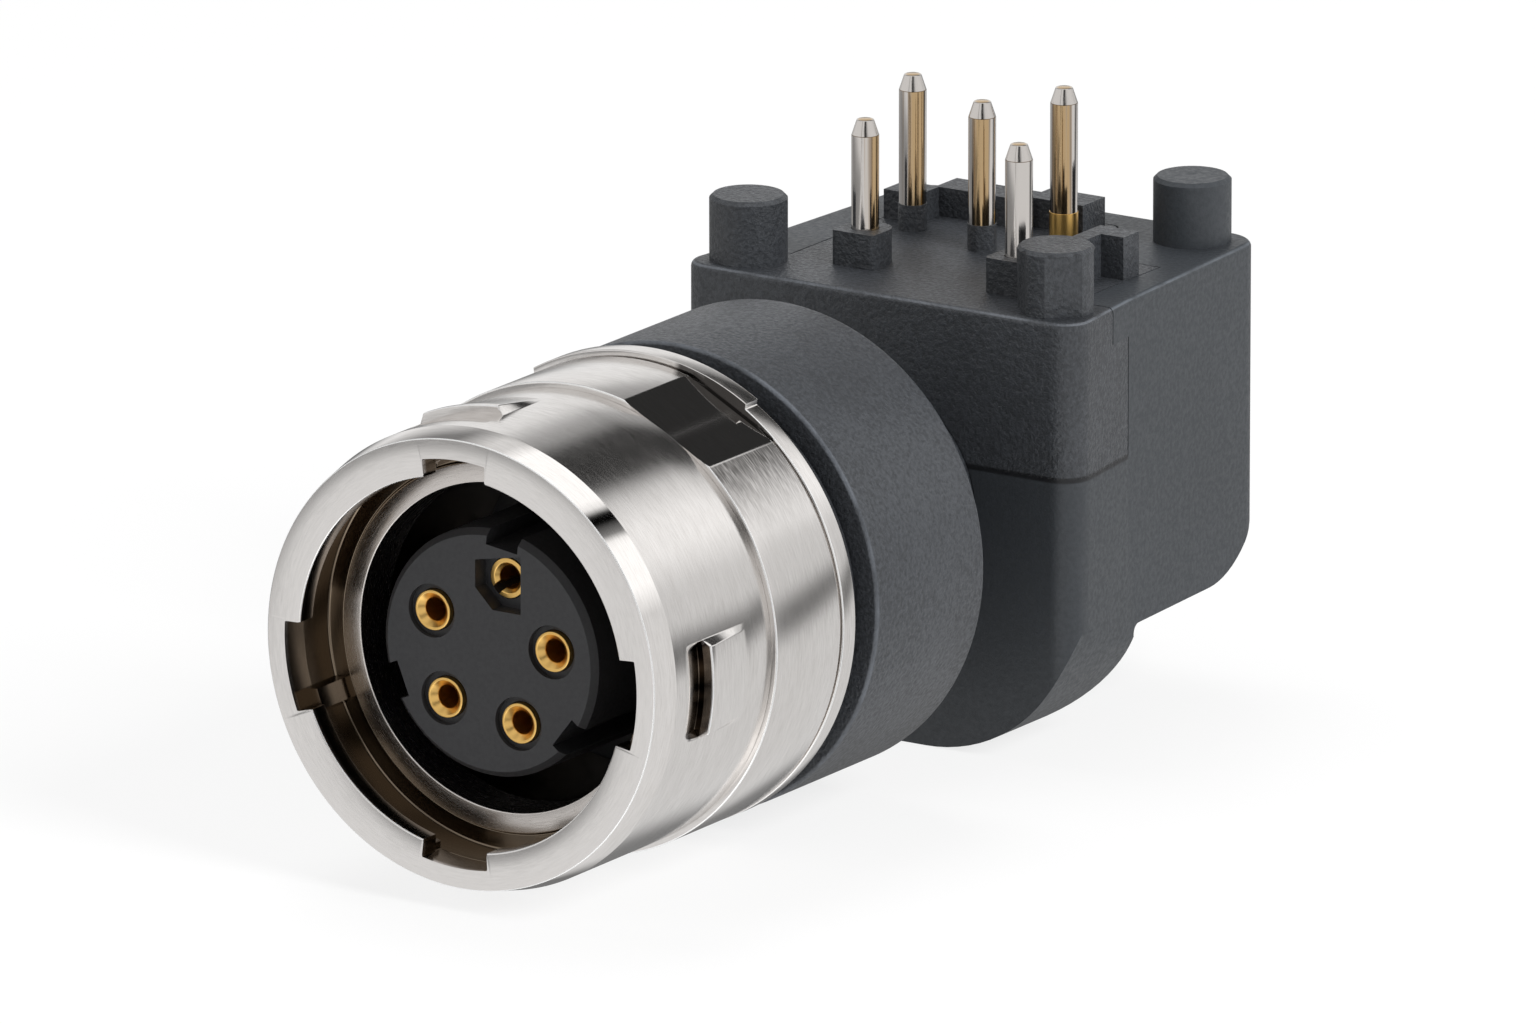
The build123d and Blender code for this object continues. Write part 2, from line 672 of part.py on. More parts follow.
def make_housing():
    """Housing: rear block and front lobe under the cap, with one peg of its own."""
    with BuildPart() as housing:
        add(body_block())
        add(cap_region(0), mode=Mode.SUBTRACT)
        peg(housing_peg)
        chamfer(housing.faces().sort_by(Axis.Z)[-1].edges(), PEG_CHAMFER)
    save("housing", housing.part)


def make_cap():
    """Cap: upper front wall and top tongue, with pegs, pin bosses, ribs and pin holes."""
    with BuildPart() as cap:
        add(body_block())
        add(cap_region(SEAM_GAP), mode=Mode.INTERSECT)
        peg(round_cap_peg)
        peg(flat_cap_peg)
        chamfer(cap.faces().filter_by(Axis.Z).group_by(Axis.Z)[-1].edges(), PEG_CHAMFER)
        with BuildSketch(Plane.XY.offset(TOP_HEIGHT)):
            with Locations(flat_cap_peg):
                Circle(PEG_R + PEG_CHAMFER)
                Rectangle(PEG_FLATS, PEG_FLATS, rotation=45, mode=Mode.SUBTRACT)
        extrude(amount=PEG_HEIGHT, mode=Mode.SUBTRACT)
        bossed = [(across, housing_y + offset) for name, _, across, offset, _ in PINS if name in BOSSED_PINS]
        with BuildSketch(Plane.XY.offset(TOP_HEIGHT)) as bosses:
            with Locations(*bossed):
                Rectangle(BOSS_WIDTH, BOSS_WIDTH)
            for place in bossed:
                around = bosses.vertices().sort_by_distance((place[0], place[1], 0))[:4]
                fillet(around.group_by(Axis.Y)[0], BOSS_FRONT_RADIUS)
            for place in bossed:
                around = bosses.vertices().sort_by_distance((place[0], place[1] + BOSS_WIDTH, 0))[:2]
                fillet(around, BOSS_REAR_RADIUS)
        extrude(amount=BOSS_HEIGHT)
        for blocks, height in ((RIB_BLOCKS, RIB_HEIGHT), (STOP_BLOCKS, STOP_HEIGHT)):
            with BuildSketch(Plane.XY.offset(TOP_HEIGHT)):
                for left, right, low, high in blocks:
                    with Locations(((left + right) / 2, housing_y + (low + high) / 2)):
                        Rectangle(right - left, high - low)
            extrude(amount=height)
        with BuildSketch(Plane.XY.offset(plate_z)):
            with Locations(*[(across, housing_y + offset) for _, _, across, offset, _ in PINS]):
                Circle(PIN_R + PRESS_GAP)
        extrude(amount=PLATE + BOSS_HEIGHT, mode=Mode.SUBTRACT)
    save("cap", cap.part)


os.makedirs("parts", exist_ok=True)
make_front_sleeve()
make_clamp_ring()
make_rear_ring()
make_inner_seal()
make_insert()
make_gasket()
make_collar()
make_rear_insulator()
make_housing()
make_cap()
for contact_name in CONTACT_NAMES:
    make_contact(contact_name)
for pin_name, pin_contact, pin_across, pin_offset, pin_height in PINS:
    make_pin(pin_name, pin_contact, pin_across, pin_offset, pin_height)
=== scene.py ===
"""Studio picture of a right-angle circular socket for a circuit board.

The coupling axis lies along Y with the mating face at y = 0 looking to -Y, and the solder pins point
to +Z. Sizes are in millimetres and become metres when a mesh is filled. Angles are in degrees, seen
from the mating side: 0 at the right, 90 at the top.
"""

import json
import logging
import math
from dataclasses import dataclass
from enum import Enum
from functools import reduce
from typing import Sequence

import bmesh
import bpy
import numpy as np
from mathutils import Matrix, Vector


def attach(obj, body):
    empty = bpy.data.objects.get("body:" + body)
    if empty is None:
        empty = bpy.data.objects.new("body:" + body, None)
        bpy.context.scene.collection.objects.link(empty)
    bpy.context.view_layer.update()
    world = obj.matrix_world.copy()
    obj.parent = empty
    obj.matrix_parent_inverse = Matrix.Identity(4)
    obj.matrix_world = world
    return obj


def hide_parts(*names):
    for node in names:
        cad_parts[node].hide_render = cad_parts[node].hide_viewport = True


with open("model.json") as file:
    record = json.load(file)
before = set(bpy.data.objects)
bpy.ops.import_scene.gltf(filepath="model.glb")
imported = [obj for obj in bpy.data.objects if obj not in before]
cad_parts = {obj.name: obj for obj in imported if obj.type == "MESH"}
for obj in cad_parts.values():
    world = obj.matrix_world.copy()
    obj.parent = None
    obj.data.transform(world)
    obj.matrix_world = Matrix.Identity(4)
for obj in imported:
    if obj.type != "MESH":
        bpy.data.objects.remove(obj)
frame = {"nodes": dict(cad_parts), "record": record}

MM = 0.001
BODY = "root"
LOG = logging.getLogger("socket")

Array = np.ndarray
Value = bpy.types.NodeSocket
Pair = tuple[float, float]
Triple = tuple[float, float, float]
Slopes = tuple[float, float, float, float]
Pairs = tuple[Pair, ...]
Card = tuple[str, float, float, float, float]


class Slot(Enum):
    """Material slots of the record."""

    PLATED = "plated_metal"
    TURNED = "turned_metal"
    GOLD = "contact_gold"
    PIN = "pin_silver"
    RUBBER = "seal_rubber"
    INSERT = "insert_plastic"
    COLLAR = "collar_plastic"
    HOUSING = "housing_plastic"
    CAP = "cap_plastic"


Paint = dict[Slot, bpy.types.Material]

# Height of the top, height of the parting line, and the axes of the pegs across and along
TOP = 8.2
SEAM = 1.82
HOUSING_PEGS: Pairs = ((5.95, 43.4),)
CAP_PEGS: Pairs = ((-7.2, 31.35), (7.2, 31.35))

# Tolerance for a place, and the length of the last step to a closed end
TOUCH = 0.001
CLOSE = 1e-5


# Surface functions


def rounded(corners: Array, radii: Sequence[float], closed: bool, steps: int = 4) -> Array:
    """Round the corners of a path with arcs.

    Each arc touches both runs at a reach of radius times the tangent of half the turn, and its
    points are the turning blend of the two end vectors about the arc's centre.

    Args:
        corners: Corner points, one row each, in two or three dimensions.
        radii: Arc radius at each corner, with 0 for a sharp one.
        closed: Whether the last corner joins the first.
        steps: Number of spans in each arc.

    Returns:
        The points of the rounded path.
    """
    count = len(corners)
    runs: list[Array] = []
    for k, (corner, radius) in enumerate(zip(corners, radii)):
        if radius <= 0 or (not closed and k in (0, count - 1)):
            runs.append(corner[None])
            continue
        back = corners[k - 1] - corner
        ahead = corners[(k + 1) % count] - corner
        back_length, ahead_length = np.linalg.norm(back), np.linalg.norm(ahead)
        back, ahead = back / back_length, ahead / ahead_length
        turn = math.pi - math.acos(float(np.clip(back @ ahead, -1.0, 1.0)))
        reach = min(radius * math.tan(turn / 2), 0.49 * back_length, 0.49 * ahead_length)
        real = reach / math.tan(turn / 2)
        inward = (back + ahead) / np.linalg.norm(back + ahead)
        centre = corner + inward * real / math.cos(turn / 2)
        start, end = corner + back * reach - centre, corner + ahead * reach - centre
        t = np.linspace(0.0, 1.0, steps + 1)[:, None]
        runs.append(centre + (np.sin((1 - t) * turn) * start + np.sin(t * turn) * end) / math.sin(turn))
    return np.concatenate(runs)


def outline(corners: Sequence[Triple], closed: bool = True, steps: int = 4) -> Array:
    """Round a profile given as the radius, station and arc radius of each corner."""
    rows = np.array(corners)
    return rounded(rows[:, :2], rows[:, 2], closed, steps)


def ring_angles(edges: Sequence[float], base: int = 360) -> Array:
    """Even angles round the axis, with more of them close to the edges of notches and lugs.

    Args:
        edges: Angles where a form starts or ends, in degrees.
        base: Number of even angles.

    Returns:
        Rising angles from 0 up to 360, in degrees.
    """
    even = np.linspace(0.0, 360.0, base, endpoint=False)
    beside = np.array([-0.45, -0.2, -0.08, 0.08, 0.2, 0.45])
    near = np.add.outer(np.asarray(edges, float), beside).ravel()
    return np.unique(np.round(np.concatenate([even, near]) % 360.0, 3))


def gate(angles: Array, centre: float, width: float, edge: float = 0.5) -> Array:
    """One inside a width about a centre angle, nought outside, with a straight slope at each end.

    Args:
        angles: Angles to judge, in degrees.
        centre: Middle of the width.
        width: Full width between the middles of the two slopes.
        edge: Width of each slope.

    Returns:
        Values from 0 to 1, one for each angle.
    """
    apart = np.abs((angles - centre + 180.0) % 360.0 - 180.0)
    return np.clip((width / 2 - apart) / edge + 0.5, 0.0, 1.0)


def turned(radius: Array, station: Array, angles: Array) -> Array:
    """Carry a profile round the coupling axis.

    A point at radius r, station y and angle a lies at (r cos a, y, r sin a).

    Args:
        radius: Radii, one row for each angle and one column for each profile point.
        station: Stations of the same shape.
        angles: Angles in degrees.

    Returns:
        Points with a row for each angle and a column for each profile point.
    """
    turn = np.radians(angles)[:, None]
    along = np.broadcast_to(station, radius.shape)
    return np.stack([radius * np.cos(turn), along, radius * np.sin(turn)], -1)


def swept(path: Array, radii: Array, sides: int = 32) -> Array:
    """Carry a circle along a path that keeps clear of the direction of +X.

    At each path point the circle lies across the tangent, spanned by the cross product of +X with
    the tangent and by the cross product of the tangent with that.

    Args:
        path: Path points.
        radii: Radius at each path point.
        sides: Number of points round the circle.

    Returns:
        Points with a row for each path point and a column for each side.
    """
    tangent = np.gradient(path, axis=0)
    tangent /= np.linalg.norm(tangent, axis=1, keepdims=True)
    first = np.cross([1.0, 0.0, 0.0], tangent)
    first /= np.linalg.norm(first, axis=1, keepdims=True)
    second = np.cross(tangent, first)
    turn = np.linspace(0.0, 2 * math.pi, sides, endpoint=False)[None, :, None]
    across = np.cos(turn) * first[:, None] + np.sin(turn) * second[:, None]
    return path[:, None] + radii[:, None, None] * across


def skin(name: str, points: Array, wrap_rows: bool, wrap_columns: bool) -> bpy.types.Object:
    """Cover a grid of points with quads.

    The quad at (i, j) joins it with (i + 1, j), (i + 1, j + 1) and (i, j + 1), and a wrapped
    direction joins its last line to its first. Points that coincide are merged, so poles close.

    Args:
        name: Name of the object and its mesh.
        points: Grid of points in millimetres.
        wrap_rows: Whether the last row joins the first.
        wrap_columns: Whether the last column joins the first.

    Returns:
        The new object, with its place in its mesh.
    """
    rows, columns = points.shape[:2]
    i, j = np.meshgrid(
        np.arange(rows if wrap_rows else rows - 1),
        np.arange(columns if wrap_columns else columns - 1),
        indexing="ij",
    )
    here, below = i * columns, (i + 1) % rows * columns
    next_j = (j + 1) % columns
    quads = np.stack([here + j, below + j, below + next_j, here + next_j], -1)
    mesh = bpy.data.meshes.new(name)
    mesh.vertices.add(rows * columns)
    mesh.vertices.foreach_set("co", (points * MM).astype(np.float32).ravel())
    mesh.loops.add(quads.size)
    mesh.loops.foreach_set("vertex_index", quads.astype(np.int32).ravel())
    mesh.polygons.add(quads.size // 4)
    mesh.polygons.foreach_set("loop_start", np.arange(0, quads.size, 4, dtype=np.int32))
    mesh.update(calc_edges=True)
    mesh.validate()
    piece = bpy.data.objects.new(name, mesh)
    bpy.context.scene.collection.objects.link(piece)
    close_up(mesh)
    return piece


def close_up(mesh: bpy.types.Mesh, smooth_angle: float = 32.0) -> None:
    """Merge coinciding points, turn faces outwards and shade smoothly between sharp edges.

    Args:
        mesh: Mesh to finish.
        smooth_angle: Edges that turn by more than this many degrees stay sharp.
    """
    work = bmesh.new()
    work.from_mesh(mesh)
    bmesh.ops.remove_doubles(work, verts=work.verts, dist=1e-7)
    bmesh.ops.recalc_face_normals(work, faces=work.faces)
    work.to_mesh(mesh)
    work.free()
    mesh.shade_smooth()
    mesh.set_sharp_from_angle(angle=math.radians(smooth_angle))


def dressed_copy(node: str, bevel: float, bevel_angle: float = 28.0) -> bpy.types.Object:
    """Copy a node's shape with its points merged, flat faces joined and edges slightly broken.

    Args:
        node: Name of the node.
        bevel: Width of the broken edges, in millimetres.
        bevel_angle: Edges that turn by more than this many degrees are broken.

    Returns:
        The new object, which stands for the node.
    """
    mesh = frame["nodes"][node].data.copy()
    mesh.name = f"{node}_skin"
    mesh.materials.clear()
    work = bmesh.new()
    work.from_mesh(mesh)
    bmesh.ops.remove_doubles(work, verts=work.verts, dist=2e-6)
    flat = math.radians(0.6)
    bmesh.ops.dissolve_limit(work, angle_limit=flat, verts=work.verts, edges=work.edges)
    work.to_mesh(mesh)
    work.free()
    if "custom_normal" in mesh.attributes:
        mesh.attributes.remove(mesh.attributes["custom_normal"])
    mesh.shade_smooth()
    mesh.set_sharp_from_angle(angle=math.radians(bevel_angle))
    piece = bpy.data.objects.new(f"{node}_skin", mesh)
    bpy.context.scene.collection.objects.link(piece)
    if bevel > 0:
        edge = piece.modifiers.new("broken_edges", "BEVEL")
        edge.width = bevel * MM
        edge.segments = 2
        edge.limit_method = "ANGLE"
        edge.angle_limit = math.radians(bevel_angle)
        edge.harden_normals = True
        edge.miter_outer = "MITER_ARC"
    return piece


def points_of(mesh: bpy.types.Mesh) -> Array:
    """Read a mesh's points.

    Args:
        mesh: Mesh to read.

    Returns:
        One row for each point, in metres.
    """
    flat = np.empty(len(mesh.vertices) * 3, np.float32)
    mesh.vertices.foreach_get("co", flat)
    return flat.reshape(-1, 3)


@dataclass(frozen=True)
class PegTops:
    """Chamfer round the top of the upright pegs."""

    radius: float = 1.56
    height: float = 10.85
    chamfer: float = 0.3
    reach: float = 0.1
    drop: float = 0.05

    def soften(self, piece: bpy.types.Object, places: Pairs) -> bpy.types.Object:
        """Halve the chamfer.

        Points at the chamfer's foot rise by half its size, and points at its head move out by half.

        Args:
            piece: Piece with pegs.
            places: Axis of each peg, across and along.

        Returns:
            The same piece.
        """
        metres = points_of(piece.data)
        points, shift, half = metres / MM, np.zeros(metres.shape), self.chamfer / 2
        tall = points[:, 2] > self.height - self.chamfer - self.drop
        low = points[:, 2] < self.height - half + TOUCH
        for place in places:
            aside = points[:, :2] - np.array(place)
            out = np.hypot(*aside.T)
            near = tall & (out > 0.5 * self.radius) & (out < self.radius + self.reach)
            head = near & ~low
            shift[near & low, 2] = half
            shift[head, :2] = aside[head] * (half / out[head, None])
        piece.data.vertices.foreach_set("co", (metres + shift * MM).astype(np.float32).ravel())
        return piece


def paint_edge_highlight(piece: bpy.types.Object, material: bpy.types.Material) -> bpy.types.Object:
    """Give the broken edges of a seated piece a second, paler material, a painted highlight.

    Args:
        piece: Piece with a bevel modifier and its own material.
        material: Material of the painted highlight on the edges.

    Returns:
        The same piece.
    """
    piece.data.materials.append(material)
    piece.modifiers["broken_edges"].material = len(piece.data.materials) - 1
    return piece


def seat(piece: bpy.types.Object, paint: Paint, slot: Slot, *nodes: str) -> bpy.types.Object:
    """Give a piece the material of a slot and its body, and hide the nodes that it stands for.

    Args:
        piece: New piece.
        paint: Material of each slot.
        slot: Material slot of the record that it follows.
        nodes: Nodes that it replaces.

    Returns:
        The same piece.
    """
    piece.data.materials.append(paint[slot])
    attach(piece, BODY)
    if nodes:
        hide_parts(*nodes)
    LOG.info("piece %s, %d faces", piece.name, len(piece.data.polygons))
    return piece


# Materials


class Graph:
    """Short ways to add and join the nodes of one node tree."""

    def __init__(self, tree: bpy.types.NodeTree, space: str) -> None:
        """Empty a node tree and choose its coordinates.

        Args:
            tree: Node tree of a material or a world.
            space: Output of the texture coordinate node that the tree works in.
        """
        self.tree = tree
        self.tree.nodes.clear()
        self.coordinates = self.add("ShaderNodeTexCoord").outputs[space]

    def add(self, kind: str, inputs: dict | None = None, **settings: object) -> bpy.types.Node:
        """Add a node, set its properties and feed its sockets.

        Args:
            kind: Type name of the node.
            inputs: Output socket or constant for each input, by name or number.
            settings: Properties by name.

        Returns:
            The node.
        """
        node = self.tree.nodes.new(kind)
        for key, value in settings.items():
            setattr(node, key, value)
        for key, value in (inputs or {}).items():
            self.feed(node.inputs[key], value)
        return node

    def feed(self, socket: Value, value: object) -> None:
        """Join an output to a socket, or set the socket to a constant.

        Args:
            socket: Input socket.
            value: Output socket, number or tuple.
        """
        if isinstance(value, bpy.types.NodeSocket):
            self.tree.links.new(value, socket)
        else:
            socket.default_value = value

    def calc(self, operation: str, *values: object, clamp: bool = False) -> Value:
        """Work out one number from others, kept between 0 and 1 when it is clamped."""
        inputs = dict(enumerate(values))
        return self.add("ShaderNodeMath", inputs, operation=operation, use_clamp=clamp).outputs[0]

    def plus(self, first: object, second: object) -> Value:
        """Add two values."""
        return self.calc("ADD", first, second)

    def less(self, first: object, second: object) -> Value:
        """Take the second value from the first."""
        return self.calc("SUBTRACT", first, second)

    def most(self, first: object, second: object) -> Value:
        """Take the greater of two values."""
        return self.calc("MAXIMUM", first, second)

    def times(self, *values: object) -> Value:
        """Multiply values."""
        return reduce(lambda first, second: self.calc("MULTIPLY", first, second), values)

    def off(self, value: object, middle: object) -> Value:
        """Distance of a value from a middle, whichever side it lies on."""
        return self.calc("ABSOLUTE", self.less(value, middle))

    def length(self, first: object, second: object) -> Value:
        """Root of the sum of two squares."""
        return self.calc("SQRT", self.plus(self.times(first, first), self.times(second, second)))

    def parts(self, vector: Value) -> tuple[Value, ...]:
        """Split a vector into its three numbers."""
        return tuple(self.add("ShaderNodeSeparateXYZ", {0: vector}).outputs)

    def split(self) -> tuple[Value, ...]:
        """Give the three coordinates of the place."""
        return self.parts(self.coordinates)

    def axis_radius(self) -> Value:
        """Give the distance from the coupling axis, the root of x squared plus z squared."""
        x, _, z = self.split()
        return self.length(x, z)

    def near_rings(self, rings: Pairs, reach: float) -> object:
        """Share of nearness to circles about the coupling axis.

        Args:
            rings: Radius and station of each circle, in millimetres.
            reach: Distance at which the share falls to nought.

        Returns:
            The greatest share, from 0 to 1.
        """
        _, y, _ = self.split()
        radius = self.axis_radius()
        total: object = 0.0
        for ring, station in rings:
            apart = self.length(self.less(radius, ring * MM), self.less(y, station * MM))
            total = self.most(total, self.ramp(apart, (reach, 0.5 * reach), MM))
        return total

    def vector(self, places: Sequence[object], scales: Triple) -> Value:
        """Join three numbers into a vector, each times its own scale."""
        scaled = [self.times(place, scale) for place, scale in zip(places, scales)]
        return self.add("ShaderNodeCombineXYZ", dict(enumerate(scaled))).outputs[0]

    def noise(self, vector: Value, scale: float = 1.0, detail: float = 2.0, rough: float = 0.5) -> Value:
        """Cloud noise about a half: its cycles for each unit, finer layers and their strength."""
        inputs = {"Vector": vector, "Scale": scale, "Detail": detail, "Roughness": rough}
        return self.add("ShaderNodeTexNoise", inputs).outputs["Fac"]

    def span(self, value: object, low: float, high: float, to_low: float, to_high: float) -> Value:
        """Map a span of values onto another, clamped."""
        inputs = dict(enumerate((value, low, high, to_low, to_high)))
        return self.add("ShaderNodeMapRange", inputs, clamp=True).outputs[0]

    def ramp(self, value: object, ends: Sequence[float], unit: float = 1.0) -> Value:
        """Share that goes evenly from 0 at the first end to 1 at the second, in units of a size."""
        return self.span(value, ends[0] * unit, ends[1] * unit, 0.0, 1.0)

    def window(self, value: object, slopes: Sequence[float], unit: float = 1.0) -> Value:
        """Share that rises from the first to the second slope and falls from the third to the last."""
        return self.times(self.ramp(value, slopes[:2], unit), self.ramp(value, slopes[:1:-1], unit))

    def blend(self, share: object, *colours: object) -> Value:
        """Mix two colours by the share of the second."""
        first, second = ((*colour, 1.0) if isinstance(colour, tuple) else colour for colour in colours)
        return self.add("ShaderNodeMix", {0: share, 6: first, 7: second}, data_type="RGBA").outputs[2]

    def bump(self, height: Value, distance: float, **before: Value) -> Value:
        """Slope of a surface whose height of one is a distance in millimetres, over an earlier Normal."""
        inputs = {"Strength": 1.0, "Distance": distance * MM, "Height": height, **before}
        return self.add("ShaderNodeBump", inputs).outputs[0]


class Surface(Graph):
    """Nodes of one material, in the object's own coordinates."""

    def __init__(self, name: str, metallic: float = 0.0) -> None:
        """Start an empty material with its shader and output.

        Args:
            name: Name of the material.
            metallic: 1 for bare metal, 0 for all else.
        """
        self.material = bpy.data.materials.new(name)
        self.material.use_nodes = True
        super().__init__(self.material.node_tree, "Object")
        self.shader = self.add("ShaderNodeBsdfPrincipled", {"Metallic": metallic})
        self.output = self.add("ShaderNodeOutputMaterial", {"Surface": self.shader.outputs["BSDF"]})

    def facing_up(self) -> Value:
        """Give the share by which the object's own surface faces +Z."""
        return self.parts(self.add("ShaderNodeTexCoord").outputs["Normal"])[2]

    def dress(self, colour: object, roughness: object, normal: object = None) -> bpy.types.Material:
        """Give the shader its colour, roughness and slope.

        Args:
            colour: Base colour.
            roughness: Roughness.
            normal: Slope of the surface, if it has one.

        Returns:
            The finished material.
        """
        self.feed(self.shader.inputs["Base Color"], colour)
        self.feed(self.shader.inputs["Roughness"], roughness)
        if normal is not None:
            self.feed(self.shader.inputs["Normal"], normal)
        return self.material


class RoundSurface(Surface):
    """Nodes of a metal turned about the coupling axis."""

    def __init__(self, name: str) -> None:
        """Find the station, the distance from the axis and the angle round it.

        Args:
            name: Name of the material.
        """
        super().__init__(name, 1.0)
        x, self.y, z = self.split()
        self.radius, self.angle = self.axis_radius(), self.calc("ARCTAN2", z, x)


@dataclass(frozen=True)
class PlatedMetal:
    """Nickel plating over turned metal, brushed round the coupling axis.

    Radii and stations are in millimetres, angles in degrees, and turns in radians. A pair says where a
    share is 0 and where it is 1, and four numbers give the start and end of its rise and of its fall.
    """

    name: str = "plated_metal"
    colour: Triple = (0.78, 0.755, 0.735)
    shade: Triple = (0.50, 0.475, 0.45)
    # Painted shade on the inner walls and in the pockets in front of the lugs.
    inner_shade: Triple = (0.19, 0.15, 0.11)
    # Painted dark reflection on the ring beside the flat and painted shade on the step behind it.
    ring_shade: Triple = (0.085, 0.08, 0.076)
    pocket_shade: Triple = (0.014, 0.010, 0.008)
    pocket_shade_pale: Triple = (0.16, 0.125, 0.095)
    # Painted highlight: white near the front and rear ring edges.
    gleam_colour: Triple = (1.0, 1.0, 1.0)
    front_gleam: Pairs = ((8.95, 0.02), (7.45, 0.02), (9.54, 3.26))
    rear_gleam: Pairs = ((9.41, 7.93), (9.42, 12.38), (9.44, 12.6))
    gleam_reach: float = 0.04
    gleam_roughness: float = 0.55
    roughness: float = 0.17
    polished: float = 0.07
    line_height: float = 0.0008
    wander: float = 0.0002
    fine_scales: Triple = (16000.0, 14000.0, 12.0)
    broad_scales: Triple = (1500.0, 1400.0, 2.5)
    pocket_scales: Triple = (9.0, 350.0, 1.0)
    face_stations: Pair = (0.02, 0.1)
    bevel_radii: Pair = (8.94, 8.96)
    bevel_stations: Pair = (1.2, 1.15)
    inner_radii: Pair = (8.3, 8.2)
    inner_stations: Pair = (0.06, 0.26)
    flat_angles: Pair = (48.4, 75.6)
    flat_stations: Slopes = (7.95, 7.97, 12.4, 12.42)
    flat_stripe: float = 60.5
    ring_stations: Slopes = (7.9, 7.95, 12.4, 12.45)
    ring_radii: Pair = (9.2, 9.3)
    ring_turns: Pair = (0.5, 0.79)
    step_stations: Slopes = (12.4, 12.42, 12.56, 12.58)
    pocket_radii: Slopes = (8.5, 8.6, 9.15, 9.17)
    pocket_stations: Slopes = (2.06, 2.08, 3.2, 3.22)
    pocket_turns: Pair = (0.6, 0.5)

    def flat(self, g: RoundSurface) -> Value:
        """Share of the milled flat.

        Args:
            g: Nodes of the material.

        Returns:
            1 on the flat, 0 elsewhere.
        """
        first, last = np.radians(self.flat_angles).tolist()
        sides = g.window(g.angle, (first, first + 0.004, last - 0.004, last))
        return g.times(sides, g.window(g.y, self.flat_stations, MM))

    def shaded(self, g: RoundSurface, fine: Value) -> Value:
        """Share of the painted dark reflection beside the flat, broken up by the brushing, and of the
        painted shade on the step behind it.

        Args:
            g: Nodes of the material.
            fine: Fine brushing.

        Returns:
            The greater of the two shares.
        """
        first, last = np.radians(self.flat_angles).tolist()
        beside = g.window(g.angle, (*self.ring_turns, first - 0.012, first - 0.004))
        on_ring = g.times(g.window(g.y, self.ring_stations, MM), g.ramp(g.radius, self.ring_radii, MM))
        beside = g.times(beside, on_ring, g.span(fine, 0.35, 0.6, 0.5, 1.0))
        behind = g.window(g.angle, (first, first + 0.01, last + 0.05, last + 0.08))
        return g.most(beside, g.times(behind, g.window(g.y, self.step_stations, MM), 0.97))

    def shade_recesses(self, g: RoundSurface, body: Value) -> Value:
        """Paint shade on the inner walls and in the pockets in front of the lugs at the right.

        Args:
            g: Nodes of the material.
            body: Colour so far.

        Returns:
            The colour.
        """
        inner = g.times(g.ramp(g.radius, self.inner_radii, MM), g.ramp(g.y, self.inner_stations, MM))
        hollow = g.window(g.y, self.pocket_stations, MM)
        hollow = g.times(hollow, g.window(g.radius, self.pocket_radii, MM))
        hollow = g.times(hollow, g.ramp(g.calc("ABSOLUTE", g.angle), self.pocket_turns))
        depth = g.noise(g.vector((g.angle, g.y, g.radius), self.pocket_scales))
        recess_shade = g.blend(g.ramp(depth, (0.42, 0.6)), self.pocket_shade, self.pocket_shade_pale)
        return g.blend(hollow, g.blend(inner, body, self.inner_shade), recess_shade)

    def build(self) -> bpy.types.Material:
        """Brushing is noise over station, radius and angle, with a polished bevel and flat, painted shade
        and painted highlights.

        Returns:
            The material.
        """
        g = RoundSurface(self.name)
        track = g.plus(g.y, g.times(g.noise(g.coordinates, 300.0), self.wander))
        fine = g.noise(g.vector((track, g.radius, g.angle), self.fine_scales), 1.0, 3.0, 0.65)
        broad = g.noise(g.vector((track, g.radius, g.angle), self.broad_scales))
        bevel = g.times(g.ramp(g.radius, self.bevel_radii, MM), g.ramp(g.y, self.bevel_stations, MM))
        flat = self.flat(g)
        smooth = g.most(bevel, flat)
        gleam = g.near_rings(self.front_gleam + self.rear_gleam, self.gleam_reach)

        start, end = (station * MM for station in self.face_stations)
        uneven = g.plus(g.span(broad, 0.35, 0.8, 0.0, 0.16), g.span(fine, 0.4, 0.75, 0.0, 0.34))
        body = g.blend(g.times(uneven, g.span(g.y, start, end, 0.3, 1.0)), self.colour, self.shade)
        # Painted dark reflection beside the flat and painted shade on the step behind it, then painted shade
        # on the inner walls and in the pockets.
        body = self.shade_recesses(g, g.blend(self.shaded(g, fine), body, self.ring_shade))

        brushed = g.span(fine, 0.25, 0.75, self.roughness - 0.04, self.roughness + 0.07)
        rough = g.plus(brushed, g.times(smooth, g.less(self.polished, brushed)))
        stripe = g.span(g.off(g.angle, math.radians(self.flat_stripe)), 0.0, 0.05, 0.12, 0.0)
        rough = g.plus(rough, g.times(flat, stripe))
        rough = g.most(rough, g.times(gleam, self.gleam_roughness))
        lines = g.times(fine, g.less(1.0, smooth), g.span(g.y, start, end, 0.25, 1.0))
        # Painted highlight: white blended in near the ring edges.
        return g.dress(g.blend(gleam, body, self.gleam_colour), rough, g.bump(lines, self.line_height))


